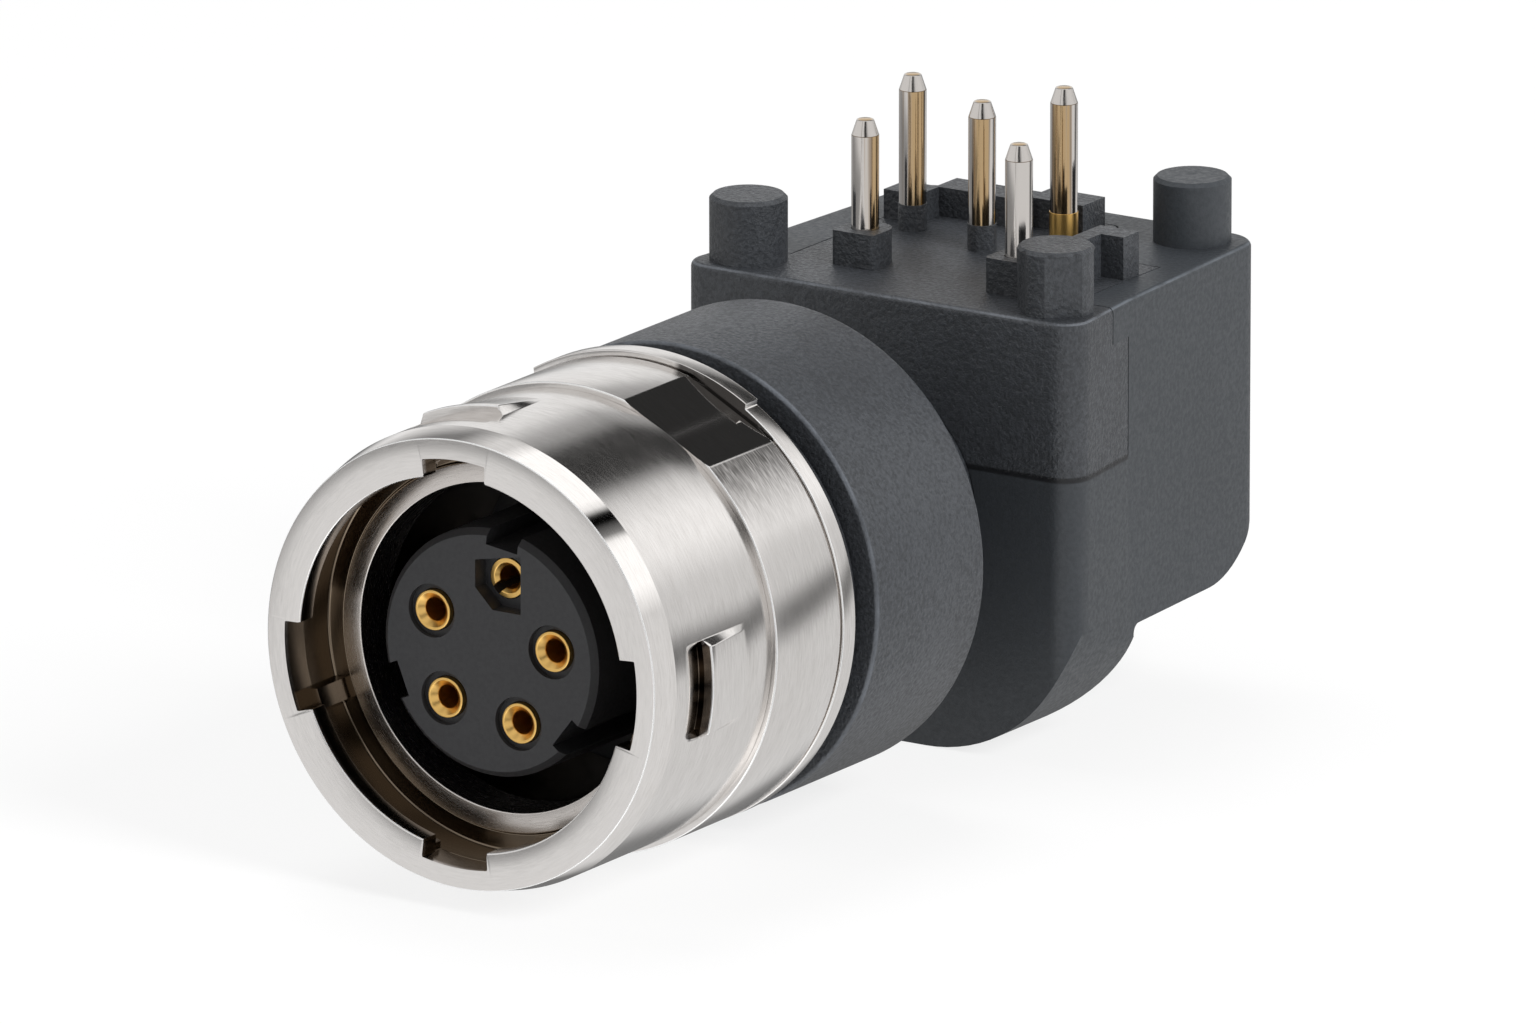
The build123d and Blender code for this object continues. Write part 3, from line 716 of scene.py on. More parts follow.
@dataclass(frozen=True)
class MouldedPlastic:
    """Dark moulded plastic with an eroded grain and edges painted pale as a highlight."""

    name: str
    colour: Triple
    grain_pitch: float
    grain_height: float
    roughness: float = 0.5
    mottle: float = 0.12
    rims: Pairs = ()
    rim_reach: float = 0.13
    rim_highlight: float = 1.9
    top_edge: float = 0.0
    tops: Pairs = ()
    tops_height: float = 10.5
    mark_radius: float = 0.55
    mark_depth: float = 0.05
    seam: float = 0.0
    seam_width: Pair = (0.08, 0.15)
    seam_end: Pair = (34.2, 34.15)
    seam_colour: Triple = (0.004, 0.004, 0.005)

    def edge_highlight(self, g: Surface) -> object:
        """Share of the painted highlight on the rims, and on the slope round the top where the plastic has
        one.

        Args:
            g: Nodes of the material.

        Returns:
            The share before it is broken up.
        """
        highlit = g.near_rings(self.rims, self.rim_reach)
        if self.top_edge:
            slope = g.ramp(g.off(g.facing_up(), 0.72), (0.2, 0.09))
            heights = [self.top_edge + rise for rise in (-0.3, -0.25, 0.0, 0.02)]
            highlit = g.most(highlit, g.times(slope, g.window(g.split()[2], heights, MM)))
        return highlit

    def sink_marks(self, g: Surface, normal: Value) -> Value:
        """Sink the middle of each peg's top by a ragged cone.

        Args:
            g: Nodes of the material.
            normal: Slope so far.

        Returns:
            The slope with the marks.
        """
        x, y, z = g.split()
        mark: object = 0.0
        for across, along in self.tops:
            apart = g.length(g.less(x, across * MM), g.less(y, along * MM))
            mark = g.plus(mark, g.ramp(apart, (self.mark_radius, 0.0), MM))
        above = g.ramp(z, (self.tops_height, self.tops_height + 0.05), MM)
        ragged = g.times(mark, g.noise(g.coordinates, 1800.0), -1.0, above)
        return g.bump(ragged, self.mark_depth, Normal=normal)

    def build(self) -> bpy.types.Material:
        """Grain is cloud noise in two sizes, with a dark parting line where two mouldings meet.

        Returns:
            The material.
        """
        g = Surface(self.name)
        fine = g.noise(g.coordinates, 1.0 / (self.grain_pitch * MM), 3.0, 0.6)
        broad = g.noise(g.coordinates, 160.0, 3.0)
        tone = g.plus(g.times(fine, 0.7), g.times(broad, 0.3))
        low, high = (tuple(k * c for c in self.colour) for k in (1.0 - self.mottle, 1.0 + self.mottle))
        surface = g.blend(g.ramp(tone, (0.4, 0.6)), low, high)
        # Painted highlight: the rims and the top edge are lifted towards a paler colour, broken up by noise.
        if self.rims or self.top_edge:
            patchy = g.times(self.edge_highlight(g), g.span(g.noise(g.coordinates, 900.0, 3.0), 0.35, 0.6, 0.3, 1.0))
            surface = g.blend(patchy, surface, tuple(c * (1.0 + self.rim_highlight) for c in self.colour))
        if self.seam:
            _, along, height = g.split()
            near, far = self.seam_width
            beside = g.span(g.off(height, self.seam * MM), near * MM, far * MM, 0.9, 0.0)
            beside = g.times(beside, g.ramp(along, self.seam_end, MM))
            surface = g.blend(beside, surface, self.seam_colour)
        normal = g.bump(g.less(fine, 0.5), self.grain_height)
        if self.tops:
            normal = self.sink_marks(g, normal)
        rough = g.span(fine, 0.35, 0.65, self.roughness + 0.07, self.roughness - 0.07)
        return g.dress(surface, rough, normal)


@dataclass(frozen=True)
class BrightMetal:
    """Gold plating of the contacts, with slow clouds of dullness."""

    name: str = "contact_gold"
    colour: Triple = (0.86, 0.54, 0.17)
    roughness: float = 0.3
    unevenness: float = 0.015

    def build(self) -> bpy.types.Material:
        """Roughness follows cloud noise.

        Returns:
            The material.
        """
        g = Surface(self.name, 1.0)
        clouds = g.noise(g.coordinates, 2900.0, 3.0)
        low, high = self.roughness - self.unevenness, self.roughness + self.unevenness
        return g.dress((*self.colour, 1.0), g.span(clouds, 0.3, 0.7, low, high))


@dataclass(frozen=True)
class PinMetal:
    """Silver coloured plating of the pins over a gold coloured one, with drawing marks along Z."""

    name: str = "pin_silver"
    colour: Triple = (0.66, 0.625, 0.595)
    under: Triple = (0.50, 0.335, 0.155)
    dark: Triple = (0.16, 0.10, 0.05)
    roughness: float = 0.12
    spread: float = 0.3
    grain: float = 0.0004
    band: float = 0.76
    band_slope: float = 0.16
    slow_scales: Triple = (2900.0, 2900.0, 30.0)
    quick_scales: Triple = (9000.0, 9000.0, 300.0)

    def build(self) -> bpy.types.Material:
        """The undercoat shows to one side of the pin, with clouds added, and on faces that look up.

        Dark lines part the two metals, and the cone of the tip stays plain with a dark line round its
        foot. The attribute around holds the direction from the gold side and the share of the tip.

        Returns:
            The material.
        """
        g = Surface(self.name, 1.0)
        streak = g.noise(g.vector(g.split(), self.slow_scales))
        marks = g.noise(g.vector(g.split(), self.quick_scales), 1.0, 3.0)
        side, _, tip = g.parts(g.add("ShaderNodeAttribute", attribute_name="around").outputs["Vector"])
        barrel = g.calc("SUBTRACT", 1.0, tip, clamp=True)
        ragged = g.plus(side, g.times(g.less(streak, 0.5), 1.1))
        start, end = self.band - self.band_slope, self.band + self.band_slope
        show = g.times(g.span(ragged, start, end, 0.0, 0.9), barrel)
        show = g.most(show, g.ramp(g.facing_up(), (0.97, 0.99)))
        parting = g.span(g.off(ragged, self.band), 0.02, 0.14, 0.6, 0.0)
        foot = g.span(g.off(tip, 0.5), 0.3, 0.5, 0.9, 0.0)
        line = g.most(g.times(parting, barrel), foot)
        low, high = self.roughness * (1.0 - self.spread), self.roughness * (1.0 + self.spread)
        colour = g.blend(line, g.blend(show, self.colour, self.under), self.dark)
        return g.dress(colour, g.span(marks, 0.3, 0.7, low, high), g.bump(marks, self.grain))


@dataclass(frozen=True)
class SealRubber:
    """Black rubber with a dull sheen."""

    name: str = "seal_rubber"
    colour: Triple = (0.018, 0.019, 0.021)
    lighter: float = 2.2
    roughness: float = 0.42

    def build(self) -> bpy.types.Material:
        """Colour, roughness and a slight unevenness follow cloud noise.

        Returns:
            The material.
        """
        g = Surface(self.name)
        cloud = g.noise(g.coordinates, 1500.0, 3.0)
        colour = g.blend(cloud, self.colour, tuple(self.lighter * c for c in self.colour))
        rough = g.span(cloud, 0.3, 0.7, self.roughness - 0.1, self.roughness + 0.12)
        return g.dress(colour, rough, g.bump(cloud, 0.004))


# Paler plastic for the broken edges of the housing and the cap: a painted highlight.
EDGE_HIGHLIGHT = MouldedPlastic("painted_edge_highlight", (0.095, 0.098, 0.105), 0.3, 0.01, 0.4, 0.5, seam=SEAM)
TURNED_METAL = {"colour": (0.70, 0.665, 0.64), "inner_shade": (0.66, 0.62, 0.59)}
COLLAR_RIMS: Pairs = ((9.4, 15.05), (9.36, 22.71))
BLOCK = {"top_edge": TOP, "seam": SEAM}
FINISHES = {
    Slot.PLATED: PlatedMetal(),
    Slot.TURNED: PlatedMetal("turned_metal", roughness=0.24, line_height=0.0016, **TURNED_METAL),
    Slot.GOLD: BrightMetal(),
    Slot.PIN: PinMetal(),
    Slot.RUBBER: SealRubber(),
    Slot.INSERT: MouldedPlastic("insert_plastic", (0.024, 0.024, 0.026), 0.16, 0.002, 0.5, 0.04),
    Slot.COLLAR: MouldedPlastic(
        "collar_plastic", (0.032, 0.035, 0.040), 0.17, 0.055, 0.42, 0.3, rims=COLLAR_RIMS
    ),
    Slot.HOUSING: MouldedPlastic(
        "housing_plastic", (0.031, 0.035, 0.040), 0.2, 0.014, 0.48, 0.1, tops=HOUSING_PEGS, **BLOCK
    ),
    Slot.CAP: MouldedPlastic(
        "cap_plastic", (0.036, 0.039, 0.044), 0.17, 0.075, 0.42, 0.26, tops=CAP_PEGS, **BLOCK
    ),
}


# Sub-assemblies


@dataclass
class CouplingSleeve:
    """Front sleeve: notched lip, bayonet groove, ramp lugs outside and the spigot behind."""

    bore: float = 6.55
    clamp: float = 7.4
    groove: float = 8.15
    lip: float = 7.45
    lip_thickness: float = 0.9
    step: float = 7.8
    step_station: float = 1.3
    floor_station: float = 3.0
    clamp_end: float = 4.9
    outer: float = 9.2
    face_edge: float = 8.95
    bevel_end: float = 1.2
    length: float = 7.9
    spigot: float = 8.6
    spigot_end: float = 11.4
    notches: Pairs = ((92.0, 21.0), (-3.0, 26.0), (189.0, 26.0), (268.0, 22.0))
    stops: Pairs = ((200.5, 7.0), (107.0, 6.0), (-17.0, 7.0), (285.0, 8.0))
    stop_slope: float = 0.9
    stop_depth: float = 0.55
    lugs: tuple[float, ...] = (-2.0, 103.0, 180.0, 270.0)
    lug_width: float = 23.0
    lug_slope: float = 1.7
    lug_rise: Pairs = (
        (2.05, 0.0),
        (3.16, -0.29),
        (3.195, -0.27),
        (3.205, 0.3),
        (3.25, 0.35),
        (3.5, 0.35),
        (6.1, 0.0),
    )

    def profile(self) -> Array:
        """Outline of the wall, with small arcs at its corners.

        Returns:
            Radius and station of each point.
        """
        marks = [station for station, _ in self.lug_rise]
        along = np.union1d(np.linspace(self.bevel_end + 0.2, marks[-1] + 0.1, 30), marks)
        return outline(
            [
                (self.lip, 0.0, 0.07),
                (self.face_edge, 0.0, 0.05),
                (self.outer, self.bevel_end, 0.12),
                *((self.outer, station, 0.0) for station in along),
                (self.outer, self.length, 0.05),
                (self.spigot, self.length, 0.02),
                (self.spigot, self.spigot_end, 0.1),
                (self.bore, self.spigot_end, 0.1),
                (self.bore, self.clamp_end, 0.02),
                (self.clamp, self.clamp_end, 0.02),
                (self.clamp, self.floor_station, 0.06),
                (self.groove, self.floor_station, 0.12),
                (self.groove, self.step_station, 0.05),
                (self.step, self.step_station, 0.03),
                (self.step, self.lip_thickness, 0.03),
                (self.lip, self.lip_thickness, 0.05),
            ]
        )

    def build(self) -> bpy.types.Object:
        """Turn the outline, opening it at the notches and raising it at the stops and lugs.

        Radius at an angle is the outline's radius, moved out to the groove by the notch gate, in by
        the stop gate, and on the outer wall by the lug gate times the lug's rise along the axis, which
        is a pocket, a step up and a long ramp back to the wall.

        Returns:
            The sleeve.
        """
        edges = [c + s * w / 2 for c, w in (*self.notches, *self.stops) for s in (-1, 1)]
        ends = [(self.lug_width + t * self.lug_slope) / 2 for t in (-1, 1)]
        edges += [c + s * e for c in self.lugs for s in (-1, 1) for e in ends]
        angles = ring_angles(edges)
        r, y = self.profile().T
        opened = sum(gate(angles, c, w) for c, w in self.notches)[:, None]
        stopped = sum(gate(angles, c, w, self.stop_slope) for c, w in self.stops)[:, None]
        lugged = sum(gate(angles, c, self.lug_width, self.lug_slope) for c in self.lugs)[:, None]
        in_lip = (y <= self.step_station + 0.01) & (r < self.groove)
        in_wall = (y > self.lip_thickness - TOUCH) & (y <= self.floor_station + TOUCH)
        in_wall &= (r > self.step - 0.05) & (r <= self.groove + TOUCH)
        rise = np.interp(y, *np.transpose(self.lug_rise)) * (r > self.outer - 0.02)
        radius = r + opened * in_lip * (self.groove - r)
        inner = np.minimum(radius, self.groove - self.stop_depth)
        radius = radius + stopped * in_wall * (inner - radius) + lugged * rise
        return skin("front_sleeve_skin", turned(radius, y, angles), True, True)


@dataclass
class RearRing:
    """Rear part of the shell: ring with a flat, flange with a raised segment, shank in the collar."""

    ring: float = 9.42
    start: float = 7.9
    ring_end: float = 12.4
    necking: float = 9.25
    flange_start: float = 12.55
    flange: float = 9.45
    flange_end: float = 13.5
    shank: float = 8.0
    shank_end: float = 20.9
    bore: float = 6.55
    spigot_bore: float = 8.62
    spigot_end: float = 11.4
    seal: float = 7.25
    shoulder: float = 13.8
    flat_angle: float = 62.0
    flat_depth: float = 0.27
    segment_angle: float = 90.0
    segment_width: float = 62.0
    segment_height: float = 0.2

    def profile(self) -> Array:
        """Outline of the wall, with small arcs at its corners.

        Returns:
            Radius and station of each point.
        """
        return outline(
            [
                (self.spigot_bore, self.start, 0.02),
                (self.ring, self.start, 0.08),
                (self.ring, self.ring_end, 0.05),
                (self.necking, self.ring_end, 0.02),
                (self.necking, self.flange_start, 0.02),
                (self.flange, self.flange_start, 0.05),
                (self.flange, self.flange_end, 0.12),
                (self.shank, self.flange_end, 0.02),
                (self.shank, self.shank_end, 0.15),
                (self.bore, self.shank_end, 0.1),
                (self.bore, self.shoulder, 0.05),
                (self.seal, self.shoulder, 0.05),
                (self.seal, self.spigot_end, 0.05),
                (self.spigot_bore, self.spigot_end, 0.02),
            ]
        )

    def build(self) -> bpy.types.Object:
        """Turn the outline, cut to a plane at the flat and raised at the flange's segment.

        On the flat the radius is the plane's distance over the cosine of the angle from its middle.

        Returns:
            The ring.
        """
        plane = self.ring - self.flat_depth
        half = math.degrees(math.acos(plane / self.ring))
        edges = [self.flat_angle + s * half for s in (-1, 1)]
        edges += [self.segment_angle + s * self.segment_width / 2 for s in (-1, 1)]
        angles = ring_angles(edges, 480)
        r, y = self.profile().T
        apart = np.radians((angles - self.flat_angle + 180.0) % 360.0 - 180.0)[:, None]
        cut = plane / np.maximum(np.cos(apart), 0.1)
        on_ring = (y <= self.flange_start + TOUCH) & (r > self.ring - 0.2) & (r <= self.ring + TOUCH)
        near_flat = np.abs(apart) < math.radians(half + 3)
        radius = np.where(on_ring & near_flat, np.minimum(r, cut), r)
        on_flange = (y > self.flange_start - TOUCH) & (y <= self.flange_end + TOUCH)
        on_flange &= r > self.necking + 0.01
        raised = gate(angles, self.segment_angle, self.segment_width)[:, None]
        radius = radius + raised * on_flange * self.segment_height
        return skin("rear_ring_skin", turned(radius, y, angles), True, True)


@dataclass(frozen=True)
class PlainRing:
    """A ring turned about the coupling axis.

    Corners are the radius, station and arc radius of each corner of its closed outline.
    """

    name: str
    corners: tuple[Triple, ...]

    def build(self) -> bpy.types.Object:
        """Turn the outline unchanged round the axis.

        Returns:
            The ring.
        """
        r, y = outline(self.corners, steps=6).T
        angles = ring_angles((), 300)
        radius = np.broadcast_to(r, (len(angles), len(r)))
        return skin(self.name, turned(radius, y, angles), True, True)


@dataclass
class ContactSet:
    """Five socket contacts: gold tubes with countersunk mouths, set in a circle."""

    circle: float = 2.95
    first_angle: float = 81.6
    pitch: float = 72.0
    names: str = "abcde"
    deep: str = "a"
    radius: float = 0.81
    bore: float = 0.46
    mouth: float = 0.24
    face: float = 2.05
    end: float = 18.0
    bore_depth: float = 7.5
    pin_bore: float = 0.57
    pin_depth: float = 3.0
    broken_edge: float = 0.03

    def place(self, name: str) -> Pair:
        """Place of a contact, across and up."""
        turn = math.radians(self.first_angle + self.pitch * self.names.index(name))
        return self.circle * math.cos(turn), self.circle * math.sin(turn)

    def build(self, name: str) -> bpy.types.Object:
        """Turn the tube's outline about its own axis, or dress the node of the deep contact.

        Args:
            name: Letter of the contact.

        Returns:
            The contact.
        """
        if name == self.deep:
            return dressed_copy(f"contact_{name}", self.broken_edge)
        across, up = self.place(name)
        blind, seat_station = self.face + self.bore_depth, self.end - self.pin_depth
        r, y = outline(
            [
                (0.0, blind, 0.0),
                (self.bore, blind, 0.05),
                (self.bore, self.face + self.mouth, 0.1),
                (self.bore + self.mouth, self.face, 0.06),
                (self.radius, self.face, 0.13),
                (self.radius, self.end, 0.06),
                (self.pin_bore, self.end, 0.05),
                (self.pin_bore, seat_station, 0.0),
                (0.0, seat_station, 0.0),
            ],
            closed=False,
        ).T
        angles = ring_angles((), 48)
        radius = np.broadcast_to(r, (len(angles), len(r)))
        points = turned(radius, y, angles) + np.array([across, 0.0, up])
        return skin(f"contact_{name}_skin", points, True, False)


@dataclass
class SolderPin:
    """One bent solder pin with a coned tip."""

    name: str
    start: Triple
    across: float
    station: float
    top: float
    jog_height: float
    gold_side: float
    radius: float = 0.55
    tip_height: float = 0.63
    tip_radius: float = 0.34
    tip_edge: float = 0.03
    bend: float = 1.2
    jog_bend: float = 1.5

    def build(self) -> bpy.types.Object:
        """Carry a circle along the bent path and narrow it at the tip.

        The radius on the tip is the pin's radius less the cone's slope times the rise, and nought at
        both ends, so that they close.

        Returns:
            The pin.
        """
        x, y, z = self.start
        shoulder = self.top - self.tip_height
        corners = [
            (x, y, z),
            (x, self.station, z),
            (self.across, self.station, self.jog_height),
            (self.across, self.station, shoulder),
        ]
        path = rounded(np.array(corners), (0.0, self.bend, self.jog_bend, 0.0), closed=False, steps=12)
        rise = np.array([0.015, 0.03, *(self.tip_height - drop for drop in (0.05, 0.015, 0.0, 0.0))])
        tip = np.full((len(rise), 3), (self.across, self.station, shoulder))
        tip[:, 2] += rise
        tip[-1, 2] += CLOSE
        path = np.vstack([path[0] - (0.0, CLOSE, 0.0), path, tip])
        tip_radii = self.radius - (self.radius - self.tip_radius) / self.tip_height * rise
        tip_radii[-2:] = (self.tip_radius - self.tip_edge, 0.0)
        barrel = np.full(len(path) - len(rise) - 1, self.radius)
        points = swept(path, np.concatenate([[0.0], barrel, tip_radii]))
        piece = skin(f"solder_pin_{self.name}_skin", points, False, True)
        self.mark(piece.data, shoulder)
        return piece

    def mark(self, mesh: bpy.types.Mesh, shoulder: float) -> None:
        """Store the direction from the pin's axis, counted from its gold side, and the way up the tip.

        Args:
            mesh: Mesh of the pin.
            shoulder: Height at which the cone starts.
        """
        points = points_of(mesh) / MM
        aside = points[:, :2] - np.array([self.across, self.station])
        aside /= np.maximum(np.linalg.norm(aside, axis=1, keepdims=True), 1e-6)
        turn = math.radians(self.gold_side)
        aside = aside @ np.array([[math.cos(turn), -math.sin(turn)], [math.sin(turn), math.cos(turn)]])
        tip = np.clip((points[:, 2] - shoulder) / 0.03, 0.0, 1.0)
        around = mesh.attributes.new("around", "FLOAT_VECTOR", "POINT")
        around.data.foreach_set("vector", np.column_stack([aside, tip]).astype(np.float32).ravel())


@dataclass
class PinFoot:
    """Short sleeve round the foot of a solder pin, standing on the cap's top."""

    name: str
    across: float
    station: float
    base: float
    height: float = 1.08
    radius: float = 0.58
    bore: float = 0.551
    sink: float = 0.1

    def build(self) -> bpy.types.Object:
        """Turn a thin wall about the pin's axis, with its top edge broken.

        A point at radius r, height h and angle a lies at (r cos a, r sin a, h) from the foot's middle.

        Returns:
            The sleeve.
        """
        foot, head = self.base - self.sink, self.base + self.height
        inside, outside = self.bore, self.radius
        wall = ((inside, foot, 0.0), (outside, foot, 0.0), (outside, head, 0.02), (inside, head, 0.0))
        r, height = outline(wall).T
        turn = np.radians(ring_angles((), 48))[:, None]
        x, y = r * np.cos(turn), r * np.sin(turn)
        points = np.stack([self.across + x, self.station + y, np.broadcast_to(height, x.shape)], -1)
        return skin(self.name, points, True, True)


@dataclass
class Studio:
    """Camera, backdrop, floor and lights.

    A lamp has its name, place, size and power. A card has its name, middle, half width, softness and
    level, with angles round the coupling axis in degrees. Windows say at which part of a ray's
    direction along +Y one set of cards gives way to the next.
    """

    camera_place: Triple = (515.54, -769.06, 261.71)
    view: Triple = (-0.52644, 0.80749, -0.26612)
    right: Triple = (0.83770, 0.54613, 0.0)
    focal_pixels: float = 25000.0
    picture_width: float = 1536.0
    sensor: float = 36.0
    clip: Pair = (0.05, 20.0)
    floor_height: float = -9.92
    floor_reach: float = 3000.0
    floor_colour: Triple = (0.86, 0.86, 0.86)
    floor_white: float = 0.8
    ambient: float = 0.34
    aim: Triple = (0.0, 18.0, 0.0)
    lamps: tuple[tuple[str, Triple, float, float], ...] = (
        ("side_lamp", (480.0, -60.0, 330.0), 240.0, 3.3),
        ("top_lamp", (-160.0, 120.0, 520.0), 300.0, 1.4),
        ("front_lamp", (-260.0, -420.0, 260.0), 260.0, 0.5),
    )
    rear_window: Pair = (0.58, 0.7)
    rear_level: float = 0.76
    rear_cards: tuple[Card, ...] = (
        ("low_left", -146.0, 36.0, 18.0, 0.2),
        ("horizon", -9.0, 8.0, 9.0, 0.16),
        ("upper_box", 48.0, 17.0, 18.0, 1.15),
        ("dark_card", 96.0, 18.0, 10.0, 0.03),
        ("half_dark", 122.0, 9.0, 12.0, 0.4),
        ("left_box", 160.0, 24.0, 14.0, 0.97),
    )
    side_window: Pair = (-0.1, 0.25)
    side_level: float = 0.85
    side_cards: tuple[Card, ...] = (
        ("low_left", -146.0, 28.0, 16.0, 0.3),
        ("upper_box", 38.0, 15.0, 12.0, 1.4),
        ("divider", 58.0, 6.5, 3.0, 0.0),
        ("top_box", 86.0, 20.0, 8.0, 1.4),
        ("left_card", 150.0, 26.0, 14.0, 0.25),
    )
    front_level: float = 0.85
    front_cards: tuple[Card, ...] = (
        ("pin_line", -27.0, 8.0, 8.0, 0.2),
        ("cone_line", 37.0, 9.0, 8.0, 0.03),
        ("cone_edge", -170.0, 9.0, 6.0, 0.3),
        ("band", 95.0, 10.0, 12.0, 0.5),
        ("low_gleam", -78.0, 14.0, 12.0, 1.7),
    )

    def camera(self) -> None:
        """Stand the camera where the photograph was taken from."""
        data = bpy.data.cameras.new("camera")
        data.sensor_width = self.sensor
        data.lens = self.focal_pixels / self.picture_width * self.sensor
        data.clip_start, data.clip_end = self.clip
        stand = bpy.data.objects.new("camera", data)
        view, right = Vector(self.view).normalized(), Vector(self.right).normalized()
        turn = Matrix((right, right.cross(view), -view)).transposed().to_4x4()
        stand.matrix_world = Matrix.Translation(Vector(self.camera_place) * MM) @ turn
        bpy.context.scene.collection.objects.link(stand)
        bpy.context.scene.camera = stand

    def reflected(self, g: Graph, turn: Value, level: float, cards: Sequence[Card]) -> object:
        """Level round the coupling axis with boxes and cards set into it.

        Each card adds its difference from the level times a soft window over the angle.

        Args:
            g: Node tree of the world.
            turn: Angle of the ray round the axis, in degrees.
            level: Level away from the cards.
            cards: Cards set into it.

        Returns:
            Strength seen in reflections.
        """
        total: object = level
        for _, middle, half, soft, strength in cards:
            apart = g.calc("ABSOLUTE", g.calc("WRAP", g.less(turn, middle), 180.0, -180.0))
            window = g.ramp(apart, (half + soft / 2, half - soft / 2))
            total = g.plus(total, g.times(window, strength - level))
        return total

    def world(self) -> None:
        """White to the camera, soft boxes and cards in reflections, and an even fill elsewhere."""
        world = bpy.data.worlds.new("studio")
        bpy.context.scene.world = world
        world.use_nodes = True
        g = Graph(world.node_tree, "Generated")
        x, y, z = g.split()
        turn = g.calc("DEGREES", g.calc("ARCTAN2", z, x))
        seen = self.reflected(g, turn, self.front_level, self.front_cards)
        side = self.reflected(g, turn, self.side_level, self.side_cards)
        rear = self.reflected(g, turn, self.rear_level, self.rear_cards)
        side = g.plus(side, g.times(g.ramp(y, self.rear_window), g.less(rear, side)))
        seen = g.plus(seen, g.times(g.ramp(y, self.side_window), g.less(side, seen)))
        path = g.add("ShaderNodeLightPath")
        glossy = g.times(path.outputs["Is Glossy Ray"], g.less(seen, self.ambient))
        clear = g.most(path.outputs["Is Camera Ray"], path.outputs["Is Transmission Ray"])
        strength = g.most(g.plus(self.ambient, glossy), clear)
        background = g.add("ShaderNodeBackground", {"Color": (1.0, 1.0, 1.0, 1.0), "Strength": strength})
        g.add("ShaderNodeOutputWorld", {"Surface": background.outputs[0]})

    def floor(self) -> None:
        """Pale floor under the lowest point, lifted towards white for the camera over its soft shadow."""
        g = Surface("floor")
        path = g.add("ShaderNodeLightPath")
        white = g.times(path.outputs["Is Camera Ray"], self.floor_white)
        glow = g.add("ShaderNodeEmission").outputs[0]
        mix = g.add("ShaderNodeMixShader", {0: white, 1: g.shader.outputs["BSDF"], 2: glow})
        g.feed(g.output.inputs["Surface"], mix.outputs[0])
        g.shader.inputs["Specular IOR Level"].default_value = 0.0
        grid = np.linspace(-self.floor_reach, self.floor_reach, 9)
        x, y = np.meshgrid(grid, grid, indexing="ij")
        floor = skin("floor", np.stack([x, y, np.full_like(x, self.floor_height)], -1), False, False)
        if floor.data.polygons[0].normal.z < 0:
            floor.data.flip_normals()
        floor.data.materials.append(g.dress((*self.floor_colour, 1.0), 0.9))
        floor.visible_glossy = False

    def lights(self) -> None:
        """Square soft lamps, each aimed at the middle of the object."""
        for name, place, size, power in self.lamps:
            data = bpy.data.lights.new(name, "AREA")
            data.shape = "SQUARE"
            data.size = size * MM
            data.energy = power
            lamp = bpy.data.objects.new(name, data)
            lamp.visible_glossy = False
            lamp.location = Vector(place) * MM
            lamp.rotation_mode = "QUATERNION"
            lamp.rotation_quaternion = (Vector(self.aim) - Vector(place)).to_track_quat("-Z", "Y")
            bpy.context.scene.collection.objects.link(lamp)

    def build(self) -> None:
        """Set up everything that isn't part of the object."""
        self.camera()
        self.world()
        self.floor()
        self.lights()
        bpy.context.scene.view_settings.view_transform = "Standard"


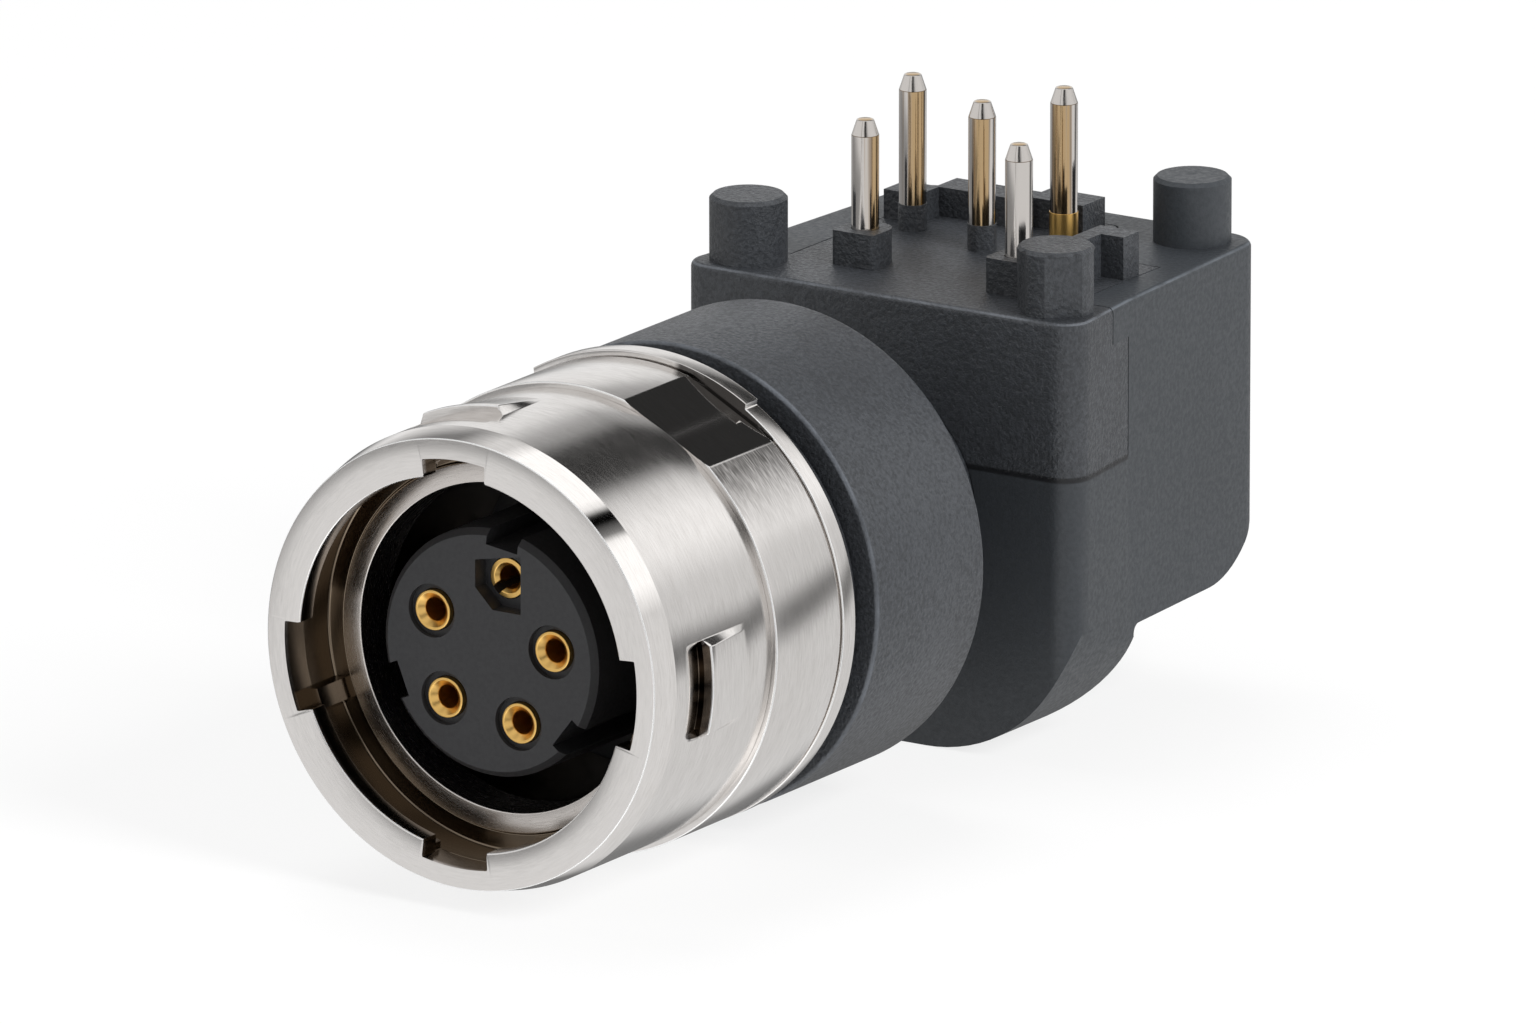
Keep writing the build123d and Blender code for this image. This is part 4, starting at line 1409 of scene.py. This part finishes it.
@dataclass
class Socket:
    """The whole socket, piece by piece.

    A solder pin has its name, its contact, its place across, its place behind the housing's front, its
    height above the top, and the direction of its gold side.
    """

    housing_station: float = 29.5
    jog_below_top: float = 2.6
    pin_start: float = 15.0
    broken_edge: float = 0.06
    pins: tuple[tuple[str, str, float, float, float, float], ...] = (
        ("1", "b", -3.0, 3.85, 5.85, -8.0),
        ("2", "c", -4.25, 9.25, 6.35, -45.0),
        ("3", "a", -0.24, 8.1, 6.05, -60.0),
        ("4", "e", 4.39, 3.55, 5.95, 120.0),
        ("5", "d", 1.5, 11.4, 6.15, -72.0),
    )
    feet: tuple[tuple[str, Slot], ...] = (("2", Slot.CAP), ("3", Slot.CAP), ("5", Slot.GOLD))
    peg_tops: PegTops = PegTops()
    gasket: PlainRing = PlainRing(
        "gasket_skin", ((8.02, 13.5, 0.0), (8.55, 13.5, 0.27), (8.55, 15.0, 0.27), (8.02, 15.0, 0.0))
    )
    clamp: PlainRing = PlainRing(
        "clamp_ring_skin", ((6.55, 2.9, 0.06), (7.38, 2.9, 0.06), (7.38, 4.9, 0.0), (6.55, 4.9, 0.0))
    )
    collar: PlainRing = PlainRing(
        "collar_skin",
        (
            (8.05, 15.0, 0.15),
            (9.45, 15.0, 0.16),
            (9.45, 22.8, 0.3),
            (4.6, 22.8, 0.2),
            (4.6, 31.0, 0.0),
            (5.6, 31.0, 0.0),
            (5.6, 32.0, 0.1),
            (3.9, 32.0, 0.1),
            (3.9, 20.9, 0.1),
            (8.05, 20.9, 0.1),
        ),
    )

    def build(self) -> None:
        """Build and dress each piece in order, from the mating face to the rear."""
        paint = {slot: finish.build() for slot, finish in FINISHES.items()}
        for part in frame["record"]["subparts"]:
            materials = frame["nodes"][part["node"]].data.materials
            materials.clear()
            materials.append(paint[Slot(part["material_slot"])])
        seat(CouplingSleeve().build(), paint, Slot.PLATED, "front_sleeve")
        seat(RearRing().build(), paint, Slot.PLATED, "rear_ring")
        seat(self.clamp.build(), paint, Slot.TURNED, "clamp_ring")
        seat(self.gasket.build(), paint, Slot.RUBBER, "gasket")
        seat(self.collar.build(), paint, Slot.COLLAR, "collar")
        seat(dressed_copy("insert", self.broken_edge), paint, Slot.INSERT, "insert")
        # The broken edges of the housing and the cap get the paler plastic as a painted highlight.
        edge_highlight = EDGE_HIGHLIGHT.build()
        for node, places, slot in (("housing", HOUSING_PEGS, Slot.HOUSING), ("cap", CAP_PEGS, Slot.CAP)):
            piece = self.peg_tops.soften(dressed_copy(node, self.broken_edge), places)
            paint_edge_highlight(seat(piece, paint, slot, node), edge_highlight)
        self.build_pins(paint)

    def build_pins(self, paint: Paint) -> None:
        """Build the contacts and the solder pins, each with its foot where it has one.

        Args:
            paint: Material of each slot.
        """
        contacts = ContactSet()
        for name in contacts.names:
            seat(contacts.build(name), paint, Slot.GOLD, f"contact_{name}")
        feet = dict(self.feet)
        for name, contact, across, offset, height, gold_side in self.pins:
            x, z = contacts.place(contact)
            station = self.housing_station + offset
            start, jog = (x, self.pin_start, z), TOP - self.jog_below_top
            pin = SolderPin(name, start, across, station, TOP + height, jog, gold_side)
            seat(pin.build(), paint, Slot.PIN, f"solder_pin_{name}")
            if name in feet:
                seat(PinFoot(f"pin_foot_{name}", across, station, TOP).build(), paint, feet[name])


def main() -> None:
    """Build the studio and the socket."""
    logging.basicConfig(level=logging.INFO, format="%(message)s")
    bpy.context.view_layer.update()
    Studio().build()
    Socket().build()


if __name__ == "__main__":
    main()
